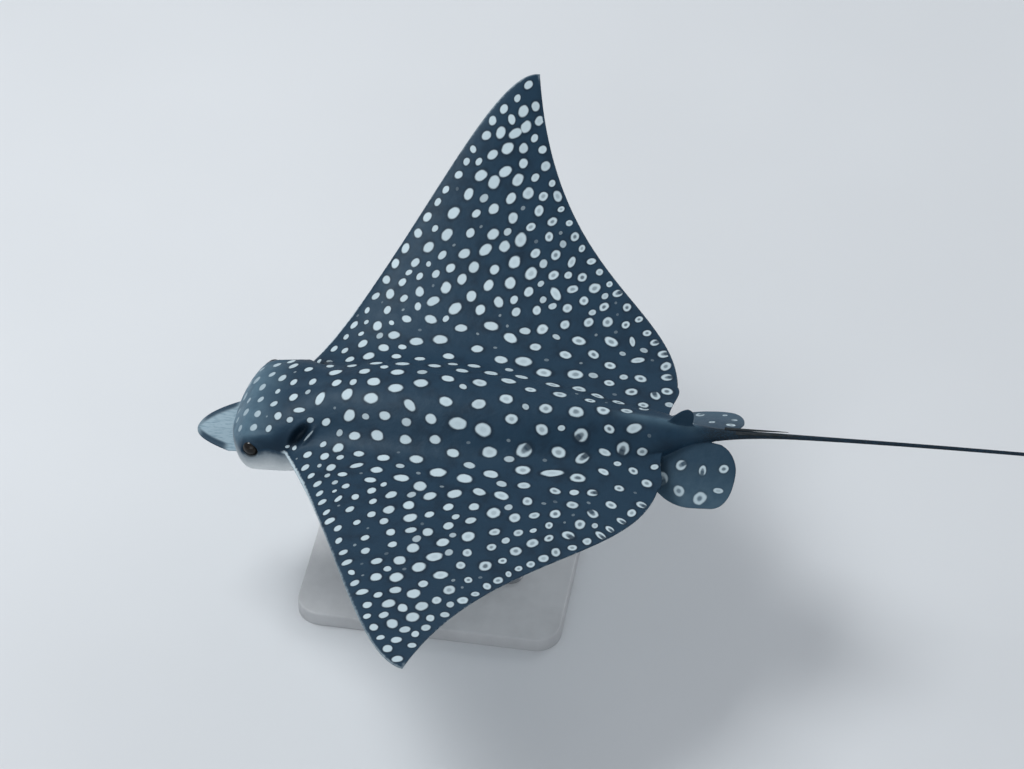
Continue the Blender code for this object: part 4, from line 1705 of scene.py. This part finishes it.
    def leading(self, points: Array) -> Array:
        """How pale the wing's leading edge is: most at its root, less further out.

        Args:
            points: Flat places, one to a row.

        Returns:
            A share from 0 to 1 for each.
        """
        side, back = abs(points[:, 0]), points[:, 1]
        front_back, _ = self.form.outline.chord(side)
        near = (1 - between(back - front_back, 0.020, 0.040)) * between(back, 0.197, 0.207)
        near = near * between(side, 0.112, 0.121) * (points[:, 2] > -0.03)
        return near * (1 - 0.65 * between(side, 0.13, 0.45))

    @staticmethod
    def band(points: Array) -> Array:
        """How deep points lie in the painted shade band that runs from the eye to the spiracle and the wing's
        root, where the side of the head lies in shade.

        Args:
            points: Flat places, one to a row.

        Returns:
            A share from 0 to 1 for each.
        """
        side, back, up = abs(points[:, 0]), points[:, 1], points[:, 2]
        ends = np.array([(0.118, 0.128, 0.004), (0.118, 0.185, 0.006), (0.104, 0.236, 0.036)])
        away = np.full(len(points), np.inf)
        for start, end in zip(ends, ends[1:]):
            line = end - start
            offset = np.stack([side, back, up], 1) - start
            share = np.clip(offset @ line / (line @ line), 0, 1)
            away = np.minimum(away, np.linalg.norm(offset - share[:, None] * line, axis=1))
        return (1 - between(away, 0.010, 0.034)) * between(side, 0.040, 0.070)

    @staticmethod
    def from_spiracle(points: Array) -> Array:
        """Distance of each point from the nearer spiracle's middle."""
        return np.linalg.norm(np.abs(points) - HeadForms.spiracle_place, axis=1)

    def carriers(self, faces: Faces, edge: Array, dark: Array) -> tuple[Array, Array]:
        """Which faces may show spots, and which may carry the middle of one.

        Args:
            faces: The flat skin's faces.
            edge: Each point's distance from the colour line.
            dark: How much painted shade the local forms put on each point.

        Returns:
            The faces that show spots, and those that may carry a middle.
        """
        side, back = abs(faces.centres[:, 0]), faces.centres[:, 1]
        edge, dark = edge[faces.first_points], dark[faces.first_points]
        body, pelvic = (faces.parts == part for part in (Part.BODY, Part.PELVIC))
        shows = (edge > self.marked_edge) & (pelvic | (body & (back < self.marked_end)))
        room = shows & (edge > self.middles_edge) & (dark < 0.02) & (pelvic | (back < self.middles_end))
        # no spot middles inside the painted shade band along the head's side
        room &= (self.band(faces.centres) < 0.12)
        room &= (self.from_spiracle(faces.centres) > self.spiracle_clearance)
        room &= ~(pelvic & (side < 0.040))
        for reach, start in ((0.020, 0.870), (0.082, 0.893)):
            room &= ~(body & (side < reach) & (back > start))
        return shows, room

    def spotted(self, mesh: Mesh, faces: Faces, edge: Array, dark: Array) -> None:
        """Lays out the spots and writes each face's two nearest ones on its corners.

        Args:
            mesh: The flat skin.
            faces: Its faces.
            edge: Each point's distance from the colour line.
            dark: How much painted shade the local forms put on each point.
        """
        shows, room = self.carriers(faces, edge, dark)
        spots = Spots(self.form)
        spots.spiracle_marks(HeadForms(self.form))
        spots.edge_rows()
        ground = Ground(faces.centres[room], faces.normals[room], faces.areas[room], faces.parts[room])
        for which in Round:
            spots.scatter(ground, which)
        LOG.info("ray_skin has %d spots", len(spots.places))
        self.write_spots(mesh, faces, spots, np.where(shows, faces.parts, -1))

    def write_spots(self, mesh: Mesh, faces: Faces, spots: Spots, carrier: Array) -> None:
        """Writes the two spots nearest to each face, as places measured in each spot's own axes.

        Args:
            mesh: The flat skin.
            faces: Its faces.
            spots: Every spot.
            carrier: The part number of each face that shows spots, and -1 for the others.
        """
        rows = (spots.places, spots.parts, spots.alongs, spots.acrosses, spots.kinds)
        places, parts, alongs, acrosses, kinds = (np.array(row) for row in rows)

        def measured(from_middle: Array, index: Array) -> tuple[Array, Array]:
            """Offsets from spots' middles in those spots' own axes."""
            return (from_middle * alongs[index]).sum(1), (from_middle * acrosses[index]).sum(1)

        tree = tree_of(places)
        chosen = np.full((len(carrier), 2), -1)
        for i in np.flatnonzero(carrier >= 0):
            centre = faces.centres[i]
            found = np.array([hit[1] for hit in tree.find_n(centre, self.neighbours)])
            found = found[parts[found] == carrier[i]]
            reach = np.hypot(*measured(centre - places[found], found))
            nearest = found[np.argsort(reach)[:2]]
            chosen[i, : len(nearest)] = nearest
        points = points_of(mesh)[faces.corner_points]
        for column, number in enumerate(("near", "next")):
            index = chosen[faces.corner_faces, column]
            local = np.stack(measured(points - places[index], index), 1)
            local[index < 0] = 9.0
            layer = mesh.uv_layers.new(name="spot_" + number)
            layer.uv.foreach_set("vector", local.astype(np.float32).ravel())
            colours = np.concatenate([kinds[index], np.ones((len(index), 1))], 1)
            attribute = mesh.color_attributes.new("kind_" + number, "FLOAT_COLOR", "CORNER")
            attribute.data.foreach_set("color", colours.astype(np.float32).ravel())

    def unwrapped(self, mesh: Mesh, faces: Faces) -> None:
        """Lays the flat skin out without overlaps: back, belly, tail, and small islands for lobe and fins.

        Args:
            mesh: The flat skin.
            faces: Its faces.
        """
        side, back, up = points_of(mesh)[faces.corner_points].T
        level = self.form.level(faces.centres[:, 1])
        upright = abs(faces.normals[:, 2]) < 0.35
        above = (faces.normals[:, 2] > 0) | (upright & (faces.centres[:, 2] > level))
        above, part = above[faces.corner_faces], faces.parts[faces.corner_faces]
        centre_side, centre_back, centre_up = faces.centres[faces.corner_faces].T
        left, tail = centre_side > 0, centre_back > 1.05
        middle = np.where(above, self.form.station(back, 2), self.form.station(back, 3))
        across = side + np.sign(centre_side) * 0.5 * np.clip(abs(middle - up), 0, 0.09)
        turn = np.arctan2(side, up) / (2 * np.pi)
        turn += np.round(np.arctan2(centre_side, centre_up) / (2 * np.pi) - turn)
        lobe, pelvic, dorsal = (part == kind for kind in (Part.LOBE, Part.PELVIC, Part.DORSAL))
        out = np.where(left, 0.55, -0.55) * (abs(side) - 0.07)
        u = 0.5 + 0.96 * across / 1.70
        v = np.where(above, 0.01 + 0.52 * back / 1.1, 0.60 + 0.32 * back / 1.1)
        for where, island_u, island_v in (
            (tail, 0.01 + 0.97 * (back - 1.05) / 3.25, 0.972 + 0.022 * turn),
            (lobe, np.where(above, 0.09, 0.91) + 0.85 * side, 0.01 + 0.85 * back),
            (pelvic, np.where(left, 0.90, 0.10) + out, np.where(above, 0.44, 0.52) + 0.35 * (back - 0.90)),
            (dorsal, np.where(left, 0.24, 0.74) + 0.6 * (back - 0.94), 0.55 + 0.6 * up),
        ):
            u, v = np.where(where, island_u, u), np.where(where, island_v, v)
        layer = mesh.uv_layers.new(name="OFBake")
        layer.uv.foreach_set("vector", np.stack([u, v], 1).astype(np.float32).ravel())

    def build(self) -> Piece:
        """Builds, marks, poses and dresses the skin.

        Returns:
            The skin.
        """
        skin = self.assembled()
        mesh = skin.data
        forms = HeadForms(self.form).all()
        bm = bmesh.new()
        bm.from_mesh(mesh)
        self.softened(bm)
        self.refined(bm, forms)
        dark = self.sculpted(bm, forms)
        bm.to_mesh(mesh)
        bm.free()
        LOG.info("ray_skin sculpted: %d faces", len(mesh.polygons))
        faces, points = Faces.of(mesh), points_of(mesh)
        point_parts = np.zeros(len(points), int)
        np.maximum.at(point_parts, faces.corner_points, faces.parts[faces.corner_faces])
        edge = self.edge_distance(points, point_parts)
        for name, values in (("band", self.band(points)), ("edge", edge), ("leading", self.leading(points))):
            attribute = mesh.attributes.new(name, "FLOAT", "POINT")
            attribute.data.foreach_set("value", values.astype(np.float32))
        attribute = mesh.color_attributes.new("zones", "FLOAT_COLOR", "POINT")
        attribute.data.foreach_set("color", self.zones(points, point_parts, dark).astype(np.float32).ravel())
        self.spotted(mesh, faces, edge, dark)
        self.unwrapped(mesh, faces)
        mesh.polygons.foreach_set("material_index", np.zeros(len(mesh.polygons), np.int32))
        mesh.materials.clear()
        mesh.materials.append(self.finish.material())
        self.pose.mesh(mesh)
        mesh.shade_smooth()
        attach(skin, "root")
        flesh = ("head", "rostral_lobe", "trunk", "pectoral_fin_left", "pectoral_fin_right")
        rear = ("pelvic_fin_left", "pelvic_fin_right", "dorsal_fin")
        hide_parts(*flesh, *rear, "tail_root", "tail_middle", "tail_rear", "tail_tip")
        return skin


@dataclass
class Eyes:
    """The two eyeballs, each behind its opening in the skin."""

    place: Triple = HeadForms.eye_place
    radius: float = 0.0172
    pose: Pose = Pose()
    finish: EyeFinish = EyeFinish()

    def build(self) -> list[Piece]:
        """Builds both eyes and dresses them.

        Returns:
            The eyes.
        """
        material = self.finish.material()
        found = []
        for side in Side:
            name = "eyeball_" + side.name.lower()
            centre = Vector((side * self.place[0], self.place[1], self.place[2]))
            bm = bmesh.new()
            turn = Matrix.Translation(centre) @ Matrix.Rotation(math.pi / 2, 4, "Y")
            bmesh.ops.create_uvsphere(bm, u_segments=48, v_segments=32, radius=self.radius, matrix=turn)
            layer = bm.loops.layers.uv.new("iris")
            for face in bm.faces:
                for loop in face.loops:
                    offset = (loop.vert.co - centre) / self.radius
                    loop[layer].uv = (offset.y, offset.z)
            eye = new_piece(name, bm, material)
            self.pose.mesh(eye.data)
            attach(eye, "root")
            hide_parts("eye_" + side.name.lower())
            found.append(eye)
        return found


@dataclass
class Stings:
    """Two flat blades on the tail's root, each with a row of fine teeth along both edges."""

    form: BodyForm = BodyForm()
    pose: Pose = Pose()
    finish: StingFinish = StingFinish()
    length: float = 0.120
    starts: Pair = (1.030, 1.052)
    half_width: float = 0.0045
    spacing: float = 0.0098
    teeth: int = 44
    tooth_depth: float = 0.22
    flatness: float = 0.36
    points: int = 12

    def blade(self, number: int, start: float) -> Shape:
        """One blade, flat below, ridged above, with teeth that point back to the body.

        Args:
            number: 1 or 2.
            start: Where its root lies along the back.

        Returns:
            Its closed skin.
        """
        rings = []
        sine, cosine = circle(self.points)
        for step in np.linspace(0, 1, 4 * self.teeth + 1):
            back = start + self.length * step
            size = self.half_width * math.sqrt(max(1 - 0.97 * step, 0.01))
            tooth = 1 - self.tooth_depth * ((step * self.teeth) % 1.0) * float(between(step, 0.12, 0.25))
            side = (number - 1.5) * self.spacing + size * np.where(abs(sine) > 0.9, tooth, 0.86) * sine
            rest = float(self.form.tail_radius(back)) + 0.0004 + 0.0014 * step * number
            up = rest + self.flatness * size * cosine
            rings.append(np.stack([side, np.full(self.points, back), up], 1))
        return rolled(capped(rings))

    def build(self) -> list[Piece]:
        """Builds both stings and dresses them.

        Returns:
            The stings.
        """
        material = self.finish.material()
        found = []
        for number, start in enumerate(self.starts, 1):
            sting = new_piece(f"sting_blade_{number}", self.blade(number, start), material)
            self.pose.mesh(sting.data)
            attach(sting, "root")
            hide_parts(f"tail_sting_{number}")
            found.append(sting)
        return found


@dataclass
class Stand:
    """The flat board with its two rods and collars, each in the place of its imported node."""

    corner: float = 0.050
    edge: float = 0.004
    foot_edge: float = 0.0012
    screw_radius: float = 0.0020
    screw_depth: float = 0.0012
    steps: int = 64
    sharp_deg: float = 35.0
    turned_sharp_deg: float = 40.0
    collar_foot: float = 0.0006
    collar_groove: float = 0.0010
    collar_shoulder: float = 0.0030
    rod_sunk: float = 0.0008
    rod_let_in: float = 0.0040
    board: BoardFinish = BoardFinish()
    steel: SteelFinish = SteelFinish()

    def board_piece(self, material: Material) -> Piece:
        """The board, with round corners and softened edges.

        Args:
            material: Its finish.

        Returns:
            The piece.
        """
        low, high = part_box("stand_base")
        size = high - low
        bm = bmesh.new()
        place = Matrix.Translation((low + high) / 2) @ Matrix.Diagonal((*size, 1))
        bmesh.ops.create_cube(bm, size=1, matrix=place)
        upright = [edge for edge in bm.edges if abs(edge.verts[0].co.z - edge.verts[1].co.z) > self.edge]
        bevel = partial(bmesh.ops.bevel, bm, profile=0.5, affect="EDGES", material=-1)
        bevel(geom=upright, offset=self.corner, segments=14)
        flat = [edge for edge in bm.edges if abs(edge.verts[0].co.z - edge.verts[1].co.z) < 1e-6]
        upper = [edge for edge in flat if edge.verts[0].co.z > high.z - 1e-5]
        lower = [edge for edge in flat if edge.verts[0].co.z < low.z + 1e-5]
        bevel(geom=upper, offset=self.edge, segments=5)
        bevel(geom=lower, offset=self.foot_edge, segments=2)
        return new_piece("stand_board", bm, material, self.sharp_deg)

    def turned(self, name: str, profile: list[Pair], centre: Pair, material: Material) -> Piece:
        """A turned piece.

        Args:
            name: Its name.
            profile: (radius, height) points from its foot up.
            centre: Its axis, as (x, y).
            material: Its finish.

        Returns:
            The piece, closed at both ends.
        """
        bm = bmesh.new()
        verts = [bm.verts.new((centre[0] + radius, centre[1], height)) for radius, height in profile]
        edges = [bm.edges.new(pair) for pair in zip(verts, verts[1:])]
        whole, middle, up = 2 * math.pi, (*centre, 0), (0, 0, 1)
        bmesh.ops.spin(
            bm, geom=verts + edges, cent=middle, axis=up, angle=whole, steps=self.steps, use_merge=True
        )
        bmesh.ops.remove_doubles(bm, verts=bm.verts, dist=1e-6)
        bmesh.ops.recalc_face_normals(bm, faces=bm.faces)
        return new_piece(name, bm, material, self.turned_sharp_deg)

    @staticmethod
    def round_of(low: Vector, high: Vector) -> tuple[Pair, float]:
        """The axis and radius of a round upright node, from the corners of its box."""
        return ((low.x + high.x) / 2, (low.y + high.y) / 2), (high.x - low.x) / 2

    def collar(self, name: str, material: Material) -> Piece:
        """A low collar with a chamfered shoulder and a turned groove.

        Args:
            name: front or rear.
            material: Its finish.

        Returns:
            The piece.
        """
        low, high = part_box("stand_collar_" + name)
        centre, radius = self.round_of(low, high)
        bottom, top = low.z, high.z
        height = top - bottom
        profile = [
            (0, bottom),
            (radius - self.collar_foot, bottom),
            (radius, bottom + self.collar_foot),
            (radius, bottom + 0.34 * height),
            (radius - self.collar_groove, bottom + 0.38 * height),
            (radius - self.collar_groove, bottom + 0.44 * height),
            (radius, bottom + 0.48 * height),
            (radius, top - self.collar_shoulder),
            (radius - self.collar_shoulder, top),
            (0, top),
        ]
        return self.turned("collar_" + name, profile, centre, material)

    def rod(self, name: str, material: Material) -> Piece:
        """A plain rod, its top let into the belly.

        Args:
            name: front or rear.
            material: Its finish.

        Returns:
            The piece.
        """
        low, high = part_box("stand_rod_" + name)
        centre, radius = self.round_of(low, high)
        bottom, top = low.z - self.rod_sunk, high.z + self.rod_let_in
        profile = [(0, bottom), (radius, bottom)]
        profile += [(radius, height) for height in np.linspace(bottom + 0.01, top - 0.001, 12)]
        profile += [(radius - 0.001, top), (0, top)]
        return self.turned("rod_" + name, profile, centre, material)

    def screw(self, name: str, material: Material) -> Piece:
        """The collar's small set screw, with a round socket.

        Args:
            name: front or rear.
            material: Its finish.

        Returns:
            The piece.
        """
        low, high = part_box("stand_collar_" + name)
        middle = Vector((high.x - self.screw_depth, (low.y + high.y) / 2, low.z + 0.72 * (high.z - low.z)))
        bm = bmesh.new()
        turn = Matrix.Translation(middle) @ Matrix.Rotation(math.pi / 2, 4, "Y")
        radius = self.screw_radius
        bmesh.ops.create_cone(
            bm, cap_ends=True, segments=24, radius1=radius, radius2=radius, depth=1.2 * radius, matrix=turn
        )
        outer = [face for face in bm.faces if face.normal.x > 0.9]
        bmesh.ops.inset_region(bm, faces=outer, thickness=0.0008, depth=0.0)
        bmesh.ops.inset_region(bm, faces=outer, thickness=0.0001, depth=-self.screw_depth)
        return new_piece("set_screw_" + name, bm, material, self.sharp_deg)

    def build(self) -> list[Piece]:
        """Builds the stand and dresses it.

        Returns:
            Its pieces.
        """
        board = self.board_piece(self.board.material())
        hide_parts("stand_base")
        found = [board]
        steel = self.steel.material()
        for name in ("front", "rear"):
            collar, rod, screw = (make(name, steel) for make in (self.collar, self.rod, self.screw))
            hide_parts("stand_collar_" + name)
            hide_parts("stand_rod_" + name)
            for piece in (collar, rod, screw):
                found.append(piece)
        for piece in found:
            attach(piece, "root")
        return found


@dataclass
class Studio:
    """A pale floor, soft lights and the camera."""

    floor: FloorFinish = FloorFinish()
    azimuth_deg: float = 9.7521
    elevation_deg: float = 41.3871
    target: Triple = (0.00, 0.08, 0.42)
    shift_right: float = 0.0616
    shift_up: float = 0.0752
    distance: float = 7.436
    lens_mm: float = 137.6
    sensor_mm: float = 36.0
    aim: Triple = (0.00, 0.10, 0.40)
    surround: Triple = (0.90, 0.94, 1.00)
    surround_strength: float = 0.42
    floor_reach: float = 40.0

    def ground(self) -> None:
        """The floor, level with the stand's underside."""
        bm = bmesh.new()
        bmesh.ops.create_grid(bm, x_segments=24, y_segments=24, size=self.floor_reach)
        floor = new_piece("studio_floor", bm, self.floor.material())

    def lamp(self, name: str, place: Triple, size: float, power: float, colour: Triple) -> None:
        """A soft square lamp that faces the ray.

        Args:
            name: Its name.
            place: Where it hangs.
            size: Its side.
            power: Its power in watts.
            colour: Its light's colour.
        """
        data = bpy.data.lights.new(name, "AREA")
        data.size = size
        data.energy = power
        data.color = colour
        lamp = bpy.data.objects.new(name, data)
        lamp.location = place
        lamp.rotation_euler = (Vector(self.aim) - Vector(place)).to_track_quat("-Z", "Y").to_euler()
        bpy.context.scene.collection.objects.link(lamp)

    def lights(self) -> None:
        """Lights from over the head, a fill from the near side, and a pale surround."""
        self.lamp("key", (-0.8, -2.4, 4.6), 2.2, 150, (0.97, 0.99, 1.0))
        self.lamp("fill", (4.5, 0.5, 2.6), 3.5, 36, (0.94, 0.97, 1.0))
        self.lamp("back", (-3.6, 2.6, 3.0), 2.6, 40, (0.95, 0.98, 1.0))
        world = bpy.data.worlds.new("studio")
        world.use_nodes = True
        background = world.node_tree.nodes["Background"]
        background.inputs["Color"].default_value = (*self.surround, 1.0)
        background.inputs["Strength"].default_value = self.surround_strength
        bpy.context.scene.world = world

    def camera(self) -> None:
        """The camera, high over the ray's left side."""
        azimuth, elevation = math.radians(self.azimuth_deg), math.radians(self.elevation_deg)
        level = math.cos(elevation)
        away = Vector((math.cos(azimuth) * level, math.sin(azimuth) * level, math.sin(elevation)))
        right = Vector((-math.sin(azimuth), math.cos(azimuth), 0))
        up = away.cross(right)
        aim = Vector(self.target) + self.shift_right * right + self.shift_up * up
        data = bpy.data.cameras.new("camera")
        data.lens = self.lens_mm
        data.sensor_width = self.sensor_mm
        data.clip_end = 100.0
        camera = bpy.data.objects.new("camera", data)
        turn = Matrix((right, up, away)).transposed().to_4x4()
        camera.matrix_world = Matrix.Translation(aim + self.distance * away) @ turn
        bpy.context.scene.collection.objects.link(camera)
        bpy.context.scene.camera = camera

    def build(self) -> None:
        """Builds the studio."""
        self.ground()
        self.lights()
        self.camera()
        bpy.context.scene.view_settings.view_transform = "Standard"
        bpy.context.scene.view_settings.look = "None"


def main() -> None:
    """Builds the ray, its stand and the studio."""
    logging.basicConfig(level=logging.INFO, format="%(relativeCreated)d ms %(message)s")
    Studio().build()
    makers: list[Callable[[], object]] = [Stand().build, Eyes().build, Stings().build, RaySkin().build]
    for make in makers:
        made = make()
        for piece in made if isinstance(made, list) else [made]:
            LOG.info("%s: %d faces", piece.name, len(piece.data.polygons))


if __name__ == "__main__":
    main()
